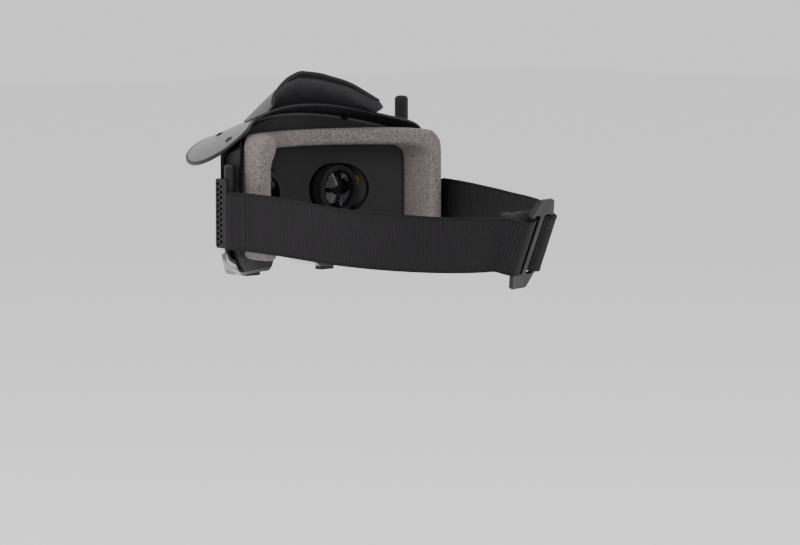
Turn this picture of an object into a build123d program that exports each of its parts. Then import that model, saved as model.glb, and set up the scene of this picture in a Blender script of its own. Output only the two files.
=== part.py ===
from build123d import *
import math
import os

# First-person-view goggles on their head strap.
# The wearer faces -Y, the wearer's left is +X and up is +Z. Millimetres.
# The origin is the middle of the brow, where the face pad meets the forehead, at eye height.

# ---- Head that the goggles are made for ----
HEAD_HALF_WIDTH = 74.0
HEAD_HALF_LENGTH = 90.0
FACE_RADIUS = 64.0
EYE_SPACING = 62.0

# ---- Front shell ----
SHELL_HALF_WIDTH = 83.5
SHELL_REAR_Y = 14.0
NOSE_CORNER_X = 36.0
NOSE_CORNER_Y = -38.0
NOSE_Y = -47.0
NOSE_CORNER_ROUND = 16.0
SHELL_BOTTOM_Z = -50.0
CHEEK_Z = -22.0
CHEEK_INSET = 6.5
CHEEK_LOW_Z = -38.0
BELLY_X = 56.0
NOSE_ARCH_FOOT_X = 20.0
NOSE_ARCH_TOP_X = 9.0
NOSE_ARCH_TOP_Z = -25.0
SHELL_WALL = 2.2
SHELL_EDGE_ROUND = 3.0
SHELL_CORNER_ROUND = 5.0
SHELL_FIT = 0.3

# ---- Sun hood: part of a tilted cylinder over the top of the shell ----
HOOD_RADIUS = 130.0
HOOD_CROWN_Y = 12.0
HOOD_CROWN_Z = 61.0
HOOD_SLOPE_DEG = 17.7
HOOD_THICKNESS = 1.6
HOOD_GAP = 0.4
HOOD_HALF_WIDTH = 84.5
HOOD_FRONT_Y = -68.0
HOOD_REAR_Y = -3.0
HOOD_TIP_INSET = 1.0
HOOD_FRONT_STEPS = ((0.0, 0.0), (34.0, 7.0), (62.0, 23.0), (79.0, 46.0))
HOOD_REAR_STEPS = ((0.0, 0.0), (30.0, 4.0), (52.0, 12.0), (64.0, 21.0), (74.0, 26.0), (80.0, 22.0))
HOOD_EDGE_Y = -1.0
RIVET_RADIUS = 1.5
RIVET_HEAD_RADIUS = 2.8
RIVET_HEAD_HEIGHT = 1.0
RIVET_FIT = 0.05
RIVET_XY = ((14.0, -40.0), (38.0, -8.0), (72.0, 8.0))
STUD_XY = ((51.0, -27.0),)

# ---- Forehead flap: part of a cone leaning back to the forehead ----
FLAP_RADIUS = 55.0
FLAP_CENTRE_Y = 24.0
FLAP_BASE_Z = 47.0
FLAP_TOP_Z = 76.0
FLAP_EDGE_DROP_DEG = 43.0
FLAP_THICKNESS = 1.3
FLAP_FOOT = 12.0
FLAP_PAD_GAP = 0.6

# ---- Eye frame: curved plate that closes the shell towards the face ----
FRAME_CENTRE_Y = 82.0
FRAME_RADIUS = 95.7
FRAME_PLATE = 2.5
FRAME_SKIRT = 2.5
FRAME_SKIRT_DEPTH = 7.0
FRAME_HALF_WIDTH = 79.0
EYE_HOLE_RADIUS = 16.6
RAIL_POST_WIDTH = 3.0
RAIL_POST_HEIGHT = 5.0
RAIL_POST_FRONT = 2.0

# ---- Face pad and its fastener ----
PAD_HALF_WIDTH = 78.0
PAD_TOP_Z = 41.0
PAD_BOTTOM_Z = -39.0
PAD_BAND = 13.0
PAD_ROUND = 14.5
PAD_REAR_Y = 45.0
FASTENER_THICKNESS = 1.2
PAD_GAP = 0.1
NOSE_NOTCH_FOOT_X = 17.0
NOSE_NOTCH_TOP_X = 8.0
NOSE_NOTCH_TOP_Z = -20.0
NOSE_FLAP_THICKNESS = 1.2
NOSE_FLAP_TOP = (7.5, -16.0)
NOSE_FLAP_FOOT = (12.5, -37.0)
NOSE_FLAP_ARCH_TOP = (4.0, -24.0)
NOSE_FLAP_ARCH_FOOT = (9.0, -38.0)
FASTENER_MARGIN = 2.0

# ---- Eyepieces ----
IPD_TRAVEL = 3.0
BARREL_RADIUS = 16.0
TUBE_RADIUS = 13.5
TUBE_REAR_Y = -6.0
BARREL_REAR_Y = -14.0
BARREL_FRONT_Y = -26.0
BARREL_FRONT_RADIUS = 9.5
BARREL_WALL = 1.4
LENS_THICKNESS = 3.5
LENS_DOME_RADIUS = 26.6
LENS_RECESS = 0.6
DISPLAY_WIDTH = 11.0
DISPLAY_HEIGHT = 8.5
DISPLAY_THICKNESS = 1.2
RING_FIT = 0.06
RING_GAP = 0.2
RING_RIB_DEPTH = 0.6
RING_RIB_WIDTH = 1.4
RING_RIBS = 24
RAIL_RADIUS = 1.25
RAIL_Y = -21.0
RAIL_Z = 16.5
RAIL_HALF_LENGTH = 45.0
RAIL_END = 1.5
RAIL_FIT = 0.05
EAR_WIDTH = 9.0
EAR_DEPTH = 4.0
EAR_REACH = 2.6
TAB_STEM_WIDTH = 6.0
TAB_STEM_DEPTH = 2.6
TAB_WIDTH = 11.0
TAB_DEPTH = 5.5
TAB_HEIGHT = 2.4
TAB_GAP = 0.5
SLOT_FIT = 0.5

# ---- Outriggers: the perforated strips on hinge posts that pull the strap ----
POST_X = 84.0
POST_Y = 24.0
POST_RADIUS = 3.6
POST_TOP_Z = 23.0
POST_BOTTOM_Z = -30.0
PIN_RADIUS = 1.2
PIN_FIT = 0.05
EAR_TOP_Z = 9.0
EAR_BOTTOM_Z = -20.0
EAR_THICKNESS = 4.0
EAR_FIT = 0.3
EAR_ARM_INSET = 1.2
STRIP_X = 87.0
STRIP_THICKNESS = 2.0
STRIP_FRONT_Y = 16.0
STRIP_REAR_Y = 26.5
STRIP_TOP_Z = 14.0
STRIP_BOTTOM_Z = -29.0
STRIP_ROUND = 1.8
PERFORATION_RADIUS = 1.05
PERFORATION_PITCH = 3.4
PERFORATION_MARGIN = 2.3
TONGUE_LENGTH = 13.0
TONGUE_THICKNESS = 1.6
TONGUE_INSET = 2.5
TONGUE_ROOT = 2.0
TONGUE_GAP = 0.1
WEB_SINK = 0.5
WEB_MARGIN = 2.0
PIN_TOP_GAP = 6.0

# ---- Head strap ----
STRAP_WIDTH = 35.0
STRAP_THICKNESS = 1.5
STRAP_FRONT_Z = -11.5
STRAP_REAR_Z = -20.5
STRAP_REAR_TILT_DEG = 23.0
STRAP_HEAD_CLEARANCE = 2.5
STRAP_END_LENGTH = 18.0
STRAP_END_GAP = 0.5
STRAP_END_ROUND = 3.0
STRAP_SEAT = 0.6
STRAP_START = 0.4

# ---- Rear buckle and pad ----
BUCKLE_OFFSET = 18.0
BUCKLE_WIDTH = 27.0
BUCKLE_END_WIDTH = 17.0
BUCKLE_HEIGHT = 58.0
BUCKLE_THICKNESS = 2.4
BUCKLE_SIDE_BAR = 4.0
BUCKLE_MIDDLE_BAR = 5.0
BUCKLE_SLOT_MARGIN = 1.5
BUCKLE_ROUND = 3.0
BUCKLE_SLOT_ROUND = 1.2
BUCKLE_EDGE_ROUND = 0.8
WEAVE_FIT = 0.25
WEAVE_REACH = 22.0
WEAVE_GAP = 1.0
WEAVE_RISE = 1.1
BACK_PAD_LENGTH = 56.0
BACK_PAD_WIDTH = 42.0
BACK_PAD_THICKNESS = 2.4
BACK_PAD_GAP = 1.1

# ---- Electronics and controls ----
BOARD_WIDTH = 70.0
BOARD_HEIGHT = 40.0
BOARD_THICKNESS = 1.6
BOARD_Y = -30.4
BOARD_CENTRE_Z = 4.0
BOARD_SCREW_INSET = 4.0
BOSS_RADIUS = 2.6
SCREW_RADIUS = 1.0
SCREW_HEAD_RADIUS = 2.0
SCREW_HEAD_HEIGHT = 1.3
SCREW_LENGTH = 5.0
SCREW_FIT = 0.15
SEAT_GAP = 0.05
RECEIVER_SIZE = (17.0, 4.4, 22.0)
RECEIVER_X = -21.0
PROCESSOR_SIZE = (16.0, 2.4, 16.0)
PROCESSOR_X = 20.0
CHIP_DROP = 2.0
FAN_SIZE = 20.0
FAN_DEPTH = 6.0
FAN_Z = 6.0
FAN_WALL = 1.2
FAN_GAP = 1.4
FAN_BLADES = 7
FAN_BLADE_PITCH_DEG = 35.0
FAN_BLADE_THICKNESS = 0.7
FAN_HUB_RADIUS = 4.0
FAN_STUB_RADIUS = 0.75
FAN_SPIDER = 1.0
FAN_CLEARANCE = 0.4
GRILLE_SIZE = 24.0
GRILLE_FIT = 0.15
GRILLE_SLOTS = 6
GRILLE_ROUND = 3.0
GRILLE_MARGIN = 2.0
KEY_Z = -38.0
KEY_ALONG = 24.0
KEY_LENGTH = 12.0
KEY_WIDTH = 6.5
KEY_SLOPE_DEG = 20.0
KEY_PROUD = 1.6
KEY_ROUND = 1.0
BUTTON_RADIUS = 3.5
BUTTON_Z = 20.0
BUTTON_ALONG = (31.0, 43.0)
BUTTON_PROUD = 1.3
BUTTON_FIT = 0.3
BUTTON_FLANGE = 1.0
BUTTON_FLANGE_WIDTH = 1.2
BUTTON_STEM = 1.0
FLANGE_GAP = 0.1
BUTTON_TRAVEL = 0.8
SWITCH_SIZE = 4.0
SWITCH_HEIGHT = 1.6
SWITCH_BOARD = 1.0
SWITCH_BOARD_LENGTH = 24.0
SWITCH_BOARD_WIDTH = 8.0
SMA_RADIUS = 3.175
SMA_LENGTH = 8.0
SMA_BORE_RADIUS = 0.65
SMA_ALONG = 26.0
SMA_NUT_RADIUS = 4.6
SMA_NUT_HEIGHT = 1.6
SMA_WASHER = 1.2
AERIAL_BELOW_HOOD = 21.5
ANTENNA_ALONG = 56.0
JACK_Z = -30.0
AV_ALONG = 22.0
AV_BORE_RADIUS = 1.8
AV_RADIUS = 4.0
DC_ALONG = 42.0
DC_BORE_RADIUS = 2.75
DC_PIN_RADIUS = 1.05
DC_RADIUS = 5.0
JACK_DEPTH = 9.0
JACK_PROUD = 0.8
JACK_FLOOR = 1.0
ANTENNA_COLLAR_RADIUS = 4.6
ANTENNA_START = 2.2
ANTENNA_HOOD_GAP = 0.15
ANTENNA_RADIUS = 4.4
ANTENNA_LENGTH = 48.0
ANTENNA_FIT = 0.05
ANTENNA_TIP_ROUND = 2.5
ANTENNA_PIN_RADIUS = 1.0
ELBOW_LENGTH = 3.5
FORK_WIDTH = 8.6
FORK_CHEEK = 1.8
FORK_HEIGHT = 6.0
FORK_LENGTH = 9.0
KNUCKLE_RADIUS = 2.9
KNUCKLE_GAP = 0.2
NECK_LENGTH = 6.5

# ---- Worked-out values ----
EYE_X = EYE_SPACING / 2
SIDE_RUN = (SHELL_HALF_WIDTH - NOSE_CORNER_X, SHELL_REAR_Y - NOSE_CORNER_Y)
SIDE_LENGTH = math.hypot(*SIDE_RUN)
SIDE_DIR = (SIDE_RUN[0] / SIDE_LENGTH, SIDE_RUN[1] / SIDE_LENGTH)
SIDE_OUT = (SIDE_DIR[1], -SIDE_DIR[0])
HOOD_DIR = Vector(0, math.cos(math.radians(HOOD_SLOPE_DEG)), math.sin(math.radians(HOOD_SLOPE_DEG)))
HOOD_UP = Vector(0, -HOOD_DIR.Z, HOOD_DIR.Y)
HOOD_AXIS = Vector(0, HOOD_CROWN_Y, HOOD_CROWN_Z) - HOOD_UP * HOOD_RADIUS
SHELL_TOP_RADIUS = HOOD_RADIUS - HOOD_THICKNESS - HOOD_GAP
REACH = 400.0
ANTENNA_X = NOSE_CORNER_X + SIDE_DIR[0] * ANTENNA_ALONG
ANTENNA_Y = NOSE_CORNER_Y + SIDE_DIR[1] * ANTENNA_ALONG
ANTENNA_PIVOT = (HOOD_HALF_WIDTH + ANTENNA_RADIUS + ANTENNA_HOOD_GAP - ANTENNA_X) / SIDE_OUT[0]
ANTENNA_COLLAR_LENGTH = ANTENNA_PIVOT - ELBOW_LENGTH - ANTENNA_START


def hood_height(x, y):
    """The height of the hood's outer surface over a point of the plan."""
    crown = HOOD_AXIS + HOOD_UP * math.sqrt(HOOD_RADIUS * HOOD_RADIUS - x * x)
    return crown.Z + (y - crown.Y) * HOOD_DIR.Z / HOOD_DIR.Y


SMA_Z = hood_height(HOOD_HALF_WIDTH, ANTENNA_Y) - AERIAL_BELOW_HOOD

os.makedirs("parts", exist_ok=True)


def save(shape, node):
    """Write one node as parts/NODE.step."""
    export_step(shape, "parts/" + node + ".step")


def both_sides(solid, node):
    """Write a left-hand solid and its mirror image."""
    save(solid, node + "_left")
    save(mirror(solid, Plane.YZ), node + "_right")


def along_z(face, low, high):
    """A face drawn on XY, raised into a prism from low to high."""
    return Pos(0, 0, low) * extrude(face, high - low, dir=(0, 0, 1))


def along_y(face, front, rear):
    """A face drawn with x as X and y as Z, made into a prism from front to rear along Y."""
    flat = Plane.XZ * face
    return Pos(0, front, 0) * extrude(flat, rear - front, dir=(0, 1, 0))


def y_cylinder(radius, front, rear, x=0.0, z=0.0):
    """A cylinder along Y."""
    length = rear - front
    return Pos(x, (front + rear) / 2, z) * Rot(90, 0, 0) * Cylinder(radius, length)


def hood_cylinder(radius):
    """The solid cylinder that the hood and the top of the shell are parts of."""
    axis = Plane(origin=HOOD_AXIS, x_dir=(1, 0, 0), z_dir=HOOD_DIR)
    return axis * Cylinder(radius, REACH)


def upright_cylinder(radius, centre_y):
    """A tall vertical cylinder on the middle plane."""
    return Pos(0, centre_y, 0) * Cylinder(radius, REACH)


def side_plane(along, z, proud=0.0):
    """A plane on the left side wall: x runs rearward along the wall, z points out of it."""
    x = NOSE_CORNER_X + SIDE_DIR[0] * along + SIDE_OUT[0] * proud
    y = NOSE_CORNER_Y + SIDE_DIR[1] * along + SIDE_OUT[1] * proud
    return Plane(origin=(x, y, z), x_dir=(SIDE_DIR[0], SIDE_DIR[1], 0), z_dir=(SIDE_OUT[0], SIDE_OUT[1], 0))


# ---------------------------------------------------------------- front shell
def plan_face(rear_y):
    """The shell seen from above, carried straight back to rear_y."""
    corner = (NOSE_CORNER_X, NOSE_CORNER_Y)
    far_corner = (-NOSE_CORNER_X, NOSE_CORNER_Y)
    rear = (SHELL_HALF_WIDTH, SHELL_REAR_Y)
    far_rear = (-SHELL_HALF_WIDTH, SHELL_REAR_Y)
    edges = [
        Line((SHELL_HALF_WIDTH, rear_y), rear),
        Line(rear, corner),
        ThreePointArc(corner, (0, NOSE_Y), far_corner),
        Line(far_corner, far_rear),
        Line(far_rear, (-SHELL_HALF_WIDTH, rear_y)),
        Line((-SHELL_HALF_WIDTH, rear_y), (SHELL_HALF_WIDTH, rear_y)),
    ]
    face = make_face(edges)
    corners = [v for v in face.vertices() if abs(v.Y - NOSE_CORNER_Y) < 0.1]
    return fillet(corners, NOSE_CORNER_ROUND)


def profile_face(half_width):
    """The shell seen from the front, with the arch over the nose; the top is trimmed later."""
    left = [
        (half_width, FLAP_TOP_Z),
        (half_width, CHEEK_Z),
        (half_width - CHEEK_INSET, CHEEK_LOW_Z),
        (BELLY_X, SHELL_BOTTOM_Z),
        (NOSE_ARCH_FOOT_X, SHELL_BOTTOM_Z),
        (NOSE_ARCH_TOP_X, NOSE_ARCH_TOP_Z),
    ]
    right = [(-x, z) for x, z in reversed(left)]
    face = make_face(Polyline(*left, *right, close=True))
    corners = [v for v in face.vertices() if v.Y < FLAP_TOP_Z - 1]
    return fillet(corners, SHELL_CORNER_ROUND)


def shell_space(inset, rear_y):
    """Everything inside the shell's outer surface, drawn in by inset."""
    plan = plan_face(rear_y)
    profile = profile_face(SHELL_HALF_WIDTH)
    if inset:
        plan = offset(plan, -inset, kind=Kind.INTERSECTION)
        profile = offset(profile, -inset, kind=Kind.INTERSECTION)
    space = along_z(plan, -REACH / 4, REACH / 4) & along_y(profile, -REACH / 4, REACH / 4)
    return space & hood_cylinder(SHELL_TOP_RADIUS - inset)


def board_bosses(radius, front, rear):
    """Four round bosses along Y at the corners of the main board."""
    half_x = BOARD_WIDTH / 2 - BOARD_SCREW_INSET
    half_z = BOARD_HEIGHT / 2 - BOARD_SCREW_INSET
    spots = [(x, BOARD_CENTRE_Z + z) for x in (-half_x, half_x) for z in (-half_z, half_z)]
    return [y_cylinder(radius, front, rear, x, z) for x, z in spots]


def wall_hole(plane, radius):
    """A round cutter through the side wall."""
    return plane * Cylinder(radius, 4 * SHELL_WALL)


def grille_cutter(size, front, rear):
    """A square cutter with rounded corners along Y at the fan."""
    return along_y(Pos(0, FAN_Z) * RectangleRounded(size, size, GRILLE_ROUND), front, rear)


def tab_slots():
    """Cutters under the eyes for the stems of the eyepieces' thumb tabs, over their whole travel."""
    width = TAB_STEM_WIDTH + 2 * IPD_TRAVEL + 2 * SLOT_FIT
    depth = TAB_STEM_DEPTH + 2 * SLOT_FIT
    return [Pos(side * EYE_X, RAIL_Y, SHELL_BOTTOM_Z) * Box(width, depth, 6 * SHELL_WALL) for side in (1, -1)]


def key_face(extra):
    """The outline of the menu key, or of its hole when extra is the clearance."""
    return Rot(0, 0, KEY_SLOPE_DEG) * SlotOverall(KEY_LENGTH + 2 * extra, KEY_WIDTH + 2 * extra)


def hood_planes(spots):
    """Planes on the hood's outer surface, square to it, at each spot and at its mirror image."""
    planes = []
    for x, y in spots:
        for side in (1, -1):
            sideways = side * x / HOOD_RADIUS
            up = HOOD_UP * math.sqrt(1 - sideways * sideways) + Vector(sideways, 0, 0)
            crown = HOOD_AXIS + up * HOOD_RADIUS
            slide = (y - crown.Y) / HOOD_DIR.Y
            planes.append(Plane(origin=crown + HOOD_DIR * slide, x_dir=HOOD_DIR, z_dir=up))
    return planes


def rivet_holes(spots):
    """Cutters for the shanks of rivets or studs."""
    return [plane * Cylinder(RIVET_RADIUS + RIVET_FIT, 30) for plane in hood_planes(spots)]


def lower_rim(space):
    """The edges between the walls of the shell and its underside, the nose arch included."""
    rim = []
    for edge in space.edges():
        middle = edge.center()
        straight = edge.geom_type == GeomType.LINE
        along = edge.tangent_at(0.5)
        square = straight and (abs(along.Y) > 0.99 or abs(along.Z) > 0.99)
        if middle.Z < CHEEK_Z + 1.5 and middle.Y < SHELL_REAR_Y + 1 and not square:
            rim.append(edge)
    return rim


def front_shell():
    """The hollow outer casing, open towards the face."""
    outer = shell_space(0, 60)
    outer = fillet(lower_rim(outer), SHELL_EDGE_ROUND)
    outer -= upright_cylinder(FRAME_RADIUS + FRAME_PLATE + SHELL_FIT, FRAME_CENTRE_Y)
    outer -= Pos(0, SHELL_REAR_Y + REACH / 2, 0) * Box(REACH, REACH, REACH)
    hollow = shell_space(SHELL_WALL, 60)
    shell = outer - hollow
    for boss in board_bosses(BOSS_RADIUS, NOSE_Y, BOARD_Y - BOARD_THICKNESS):
        shell += boss & outer
    for hole in board_bosses(SCREW_RADIUS, BOARD_Y - BOARD_THICKNESS - SCREW_LENGTH, BOARD_Y):
        shell -= hole
    shell -= grille_cutter(GRILLE_SIZE, 2 * NOSE_Y, NOSE_Y + 3 * SHELL_WALL)
    shell -= side_plane(KEY_ALONG, KEY_Z) * extrude(key_face(BUTTON_FIT), 3 * SHELL_WALL, both=True)
    for along in BUTTON_ALONG:
        shell -= wall_hole(side_plane(along, BUTTON_Z), BUTTON_RADIUS + BUTTON_FIT)
    right = [
        wall_hole(side_plane(SMA_ALONG, SMA_Z), SMA_RADIUS),
        wall_hole(side_plane(ANTENNA_ALONG, SMA_Z), SMA_RADIUS),
        wall_hole(side_plane(AV_ALONG, JACK_Z), AV_RADIUS),
        wall_hole(side_plane(DC_ALONG, JACK_Z), DC_RADIUS),
    ]
    for hole in right:
        shell -= mirror(hole, Plane.YZ)
    for slot in tab_slots():
        shell -= slot
    for hole in rivet_holes(RIVET_XY):
        shell -= hole
    return shell


# ---------------------------------------------------------------- sun hood
def hood_face():
    """The hood seen from above: a deep brim in front, wings that run back past the temples."""
    wing_tip = (HOOD_HALF_WIDTH - HOOD_TIP_INSET, HOOD_CROWN_Y)
    front = [(x, HOOD_FRONT_Y + back) for x, back in HOOD_FRONT_STEPS]
    front += [(HOOD_HALF_WIDTH, HOOD_EDGE_Y), wing_tip]
    rear = [(x, HOOD_REAR_Y + back) for x, back in HOOD_REAR_STEPS] + [wing_tip]
    front_line = Spline(*[(-x, y) for x, y in reversed(front[1:])], *front)
    rear_line = Spline(*[(-x, y) for x, y in reversed(rear[1:])], *rear)
    return make_face([front_line, rear_line])


def sun_hood():
    """The glossy hood, a thin curved sheet."""
    sheet = hood_cylinder(HOOD_RADIUS) - hood_cylinder(HOOD_RADIUS - HOOD_THICKNESS)
    hood = sheet & along_z(hood_face(), 0, FLAP_TOP_Z + 30)
    for hole in rivet_holes(RIVET_XY + STUD_XY):
        hood -= hole
    return hood


def domed_head():
    """A rivet's domed head, standing on XY."""
    dome_radius = (RIVET_HEAD_RADIUS**2 + RIVET_HEAD_HEIGHT**2) / (2 * RIVET_HEAD_HEIGHT)
    dome = Pos(0, 0, RIVET_HEAD_HEIGHT - dome_radius) * Sphere(dome_radius)
    return dome & Pos(0, 0, RIVET_HEAD_HEIGHT) * Cylinder(RIVET_HEAD_RADIUS, 2 * RIVET_HEAD_HEIGHT)


def riveted(plane, grip, ends):
    """A rivet whose shank goes grip deep behind the plane, with a head at one or both ends."""
    low = -grip - RIVET_FIT
    rivet = Pos(0, 0, (low + RIVET_HEAD_HEIGHT / 2) / 2) * Cylinder(RIVET_RADIUS, RIVET_HEAD_HEIGHT / 2 - low)
    rivet += Pos(0, 0, RIVET_FIT) * domed_head()
    if ends == 2:
        rivet += Pos(0, 0, low) * Rot(180, 0, 0) * domed_head()
    return plane * rivet


def hood_rivets():
    """Six domed rivets that hold the hood to the shell."""
    grip = HOOD_THICKNESS + HOOD_GAP + SHELL_WALL
    return Compound(children=[riveted(plane, grip, 1) for plane in hood_planes(RIVET_XY)])


def hood_studs():
    """Two studs through the brim alone, where its front corners are clenched."""
    return Compound(children=[riveted(plane, HOOD_THICKNESS, 2) for plane in hood_planes(STUD_XY)])


# ---------------------------------------------------------------- forehead flap
def forehead_flap():
    """A thin leaning collar over the brow, highest in the middle."""
    height = FLAP_TOP_Z - FLAP_BASE_Z + FLAP_FOOT
    base = FLAP_RADIUS + FLAP_FOOT
    wall = FLAP_THICKNESS * math.sqrt(2)
    outer = Cone(base, base - height, height)
    inner = Cone(base - wall, base - height - wall, height)
    cone = Pos(0, FLAP_CENTRE_Y, FLAP_BASE_Z - FLAP_FOOT + height / 2) * (outer - inner)
    top = Vector(0, FLAP_CENTRE_Y - FLAP_RADIUS + FLAP_TOP_Z - FLAP_BASE_Z, FLAP_TOP_Z)
    edge_plane = Plane(origin=top, x_dir=(1, 0, 0), z_dir=Vector(0, 0, 1).rotate(Axis.X, -FLAP_EDGE_DROP_DEG))
    above = edge_plane * (Pos(0, 0, REACH / 2) * Box(REACH, REACH, REACH))
    over_pad = upright_cylinder(FRAME_RADIUS + 1, FRAME_CENTRE_Y)
    over_pad &= Pos(0, 0, PAD_TOP_Z + FLAP_PAD_GAP - REACH / 2) * Box(REACH, REACH, REACH)
    return cone - above - hood_cylinder(HOOD_RADIUS + PAD_GAP) - over_pad


# ---------------------------------------------------------------- eye frame
def frame_space(inset):
    """The outline of the eye frame as a prism along Y, drawn in by inset."""
    outline = offset(profile_face(FRAME_HALF_WIDTH + SHELL_WALL), -SHELL_WALL - SHELL_FIT - inset)
    return along_y(outline, -60, 60)


def hinge_ears(fit):
    """The two ears on each side that carry the outrigger's pin; fit widens them into a cutter."""
    ears = []
    for z in (EAR_TOP_Z, EAR_BOTTOM_Z):
        knob = Pos(POST_X, POST_Y) * Circle(POST_RADIUS + fit)
        arm_start = PAD_HALF_WIDTH - PAD_GAP
        arm_depth = 2 * POST_RADIUS - EAR_ARM_INSET + 2 * fit
        arm = Pos((POST_X + arm_start) / 2, POST_Y) * Rectangle(POST_X - arm_start, arm_depth)
        ears.append(along_z(knob + arm, z - fit, z + EAR_THICKNESS + fit))
    return ears


def eye_frame():
    """The black frame behind the shell: curved plate, skirt, eye holes, rail posts and hinge ears."""
    front_radius = FRAME_RADIUS + FRAME_PLATE
    rear_cut = upright_cylinder(FRAME_RADIUS, FRAME_CENTRE_Y)
    inside = frame_space(0) & shell_space(SHELL_WALL + SHELL_FIT, 60)
    plate = inside & upright_cylinder(front_radius, FRAME_CENTRE_Y)
    skirt = inside - frame_space(FRAME_SKIRT)
    skirt &= upright_cylinder(front_radius + FRAME_SKIRT_DEPTH, FRAME_CENTRE_Y)
    frame = plate + skirt
    for x in (-RAIL_HALF_LENGTH, 0, RAIL_HALF_LENGTH):
        for z in (-RAIL_Z, RAIL_Z):
            post_length = RAIL_POST_FRONT - RAIL_Y
            frame += Pos(x, -post_length / 2, z) * Box(RAIL_POST_WIDTH, post_length, RAIL_POST_HEIGHT)
    frame -= rear_cut
    for slot in tab_slots():
        frame -= slot
    for side in (1, -1):
        hole = Pos(side * EYE_X, 0) * SlotOverall(2 * (EYE_HOLE_RADIUS + IPD_TRAVEL), 2 * EYE_HOLE_RADIUS)
        frame -= along_y(hole, -60, 40) & upright_cylinder(front_radius + 0.5, FRAME_CENTRE_Y)
    for ear in hinge_ears(0):
        frame += ear
        frame += mirror(ear, Plane.YZ)
    pin = Pos(POST_X, POST_Y, 0) * Cylinder(PIN_RADIUS, REACH)
    frame = frame - pin - mirror(pin, Plane.YZ)
    for z in (-RAIL_Z, RAIL_Z):
        frame -= Pos(0, RAIL_Y, z) * Rot(0, 90, 0) * Cylinder(RAIL_RADIUS, 2 * RAIL_HALF_LENGTH + 10)
    return frame


def ipd_rails():
    """Two steel rods that the eyepieces slide on."""
    rod = Rot(0, 90, 0) * Cylinder(RAIL_RADIUS, 2 * (RAIL_HALF_LENGTH + RAIL_END))
    return Compound(children=[Pos(0, RAIL_Y, z) * rod for z in (-RAIL_Z, RAIL_Z)])


# ---------------------------------------------------------------- face pad
def nose_notch(grow):
    """The gap for the nose, open below."""
    foot = (NOSE_NOTCH_FOOT_X + grow, SHELL_BOTTOM_Z - 10)
    left = [foot, (NOSE_NOTCH_TOP_X + grow, NOSE_NOTCH_TOP_Z + grow)]
    right = [(-x, z) for x, z in reversed(left)]
    return make_face(Polyline(*left, *right, close=True))


def ring_face(margin):
    """The pad's outline as an open ring around the eyes; margin draws both edges in."""
    height = PAD_TOP_Z - PAD_BOTTOM_Z
    middle = (PAD_TOP_Z + PAD_BOTTOM_Z) / 2
    outer = RectangleRounded(2 * (PAD_HALF_WIDTH - margin), height - 2 * margin, PAD_ROUND - margin)
    band = PAD_BAND - margin
    inner = RectangleRounded(2 * (PAD_HALF_WIDTH - band), height - 2 * band, PAD_ROUND - band)
    return (Pos(0, middle) * outer) - (Pos(0, middle) * inner) - nose_notch(margin)


def face_pad():
    """The foam pad, cut to the curve of the face."""
    pad = along_y(ring_face(0), -40, PAD_REAR_Y)
    pad &= upright_cylinder(FRAME_RADIUS - FASTENER_THICKNESS - 2 * PAD_GAP, FRAME_CENTRE_Y)
    pad &= hood_cylinder(SHELL_TOP_RADIUS)
    return pad - upright_cylinder(FACE_RADIUS, FACE_RADIUS)


def pad_fastener():
    """The hook-and-loop ring between the pad and the frame."""
    ring = upright_cylinder(FRAME_RADIUS - PAD_GAP, FRAME_CENTRE_Y)
    ring -= upright_cylinder(FRAME_RADIUS - PAD_GAP - FASTENER_THICKNESS, FRAME_CENTRE_Y)
    return ring & along_y(ring_face(FASTENER_MARGIN), -40, 40) & hood_cylinder(SHELL_TOP_RADIUS)


def mirrored_outline(foot, top):
    """A four-cornered outline from its two corners on the left."""
    return make_face(Polyline(foot, top, (-top[0], top[1]), (-foot[0], foot[1]), close=True))


def nose_flap():
    """A thin rubber flap that blocks light beside the nose."""
    rear = FRAME_RADIUS - PAD_GAP - NOSE_FLAP_THICKNESS
    sheet = upright_cylinder(FRAME_RADIUS - PAD_GAP, FRAME_CENTRE_Y) - upright_cylinder(rear, FRAME_CENTRE_Y)
    outline = mirrored_outline(NOSE_FLAP_FOOT, NOSE_FLAP_TOP)
    arch = mirrored_outline(NOSE_FLAP_ARCH_FOOT, NOSE_FLAP_ARCH_TOP)
    return sheet & along_y(outline - arch, -40, 40)


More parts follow.
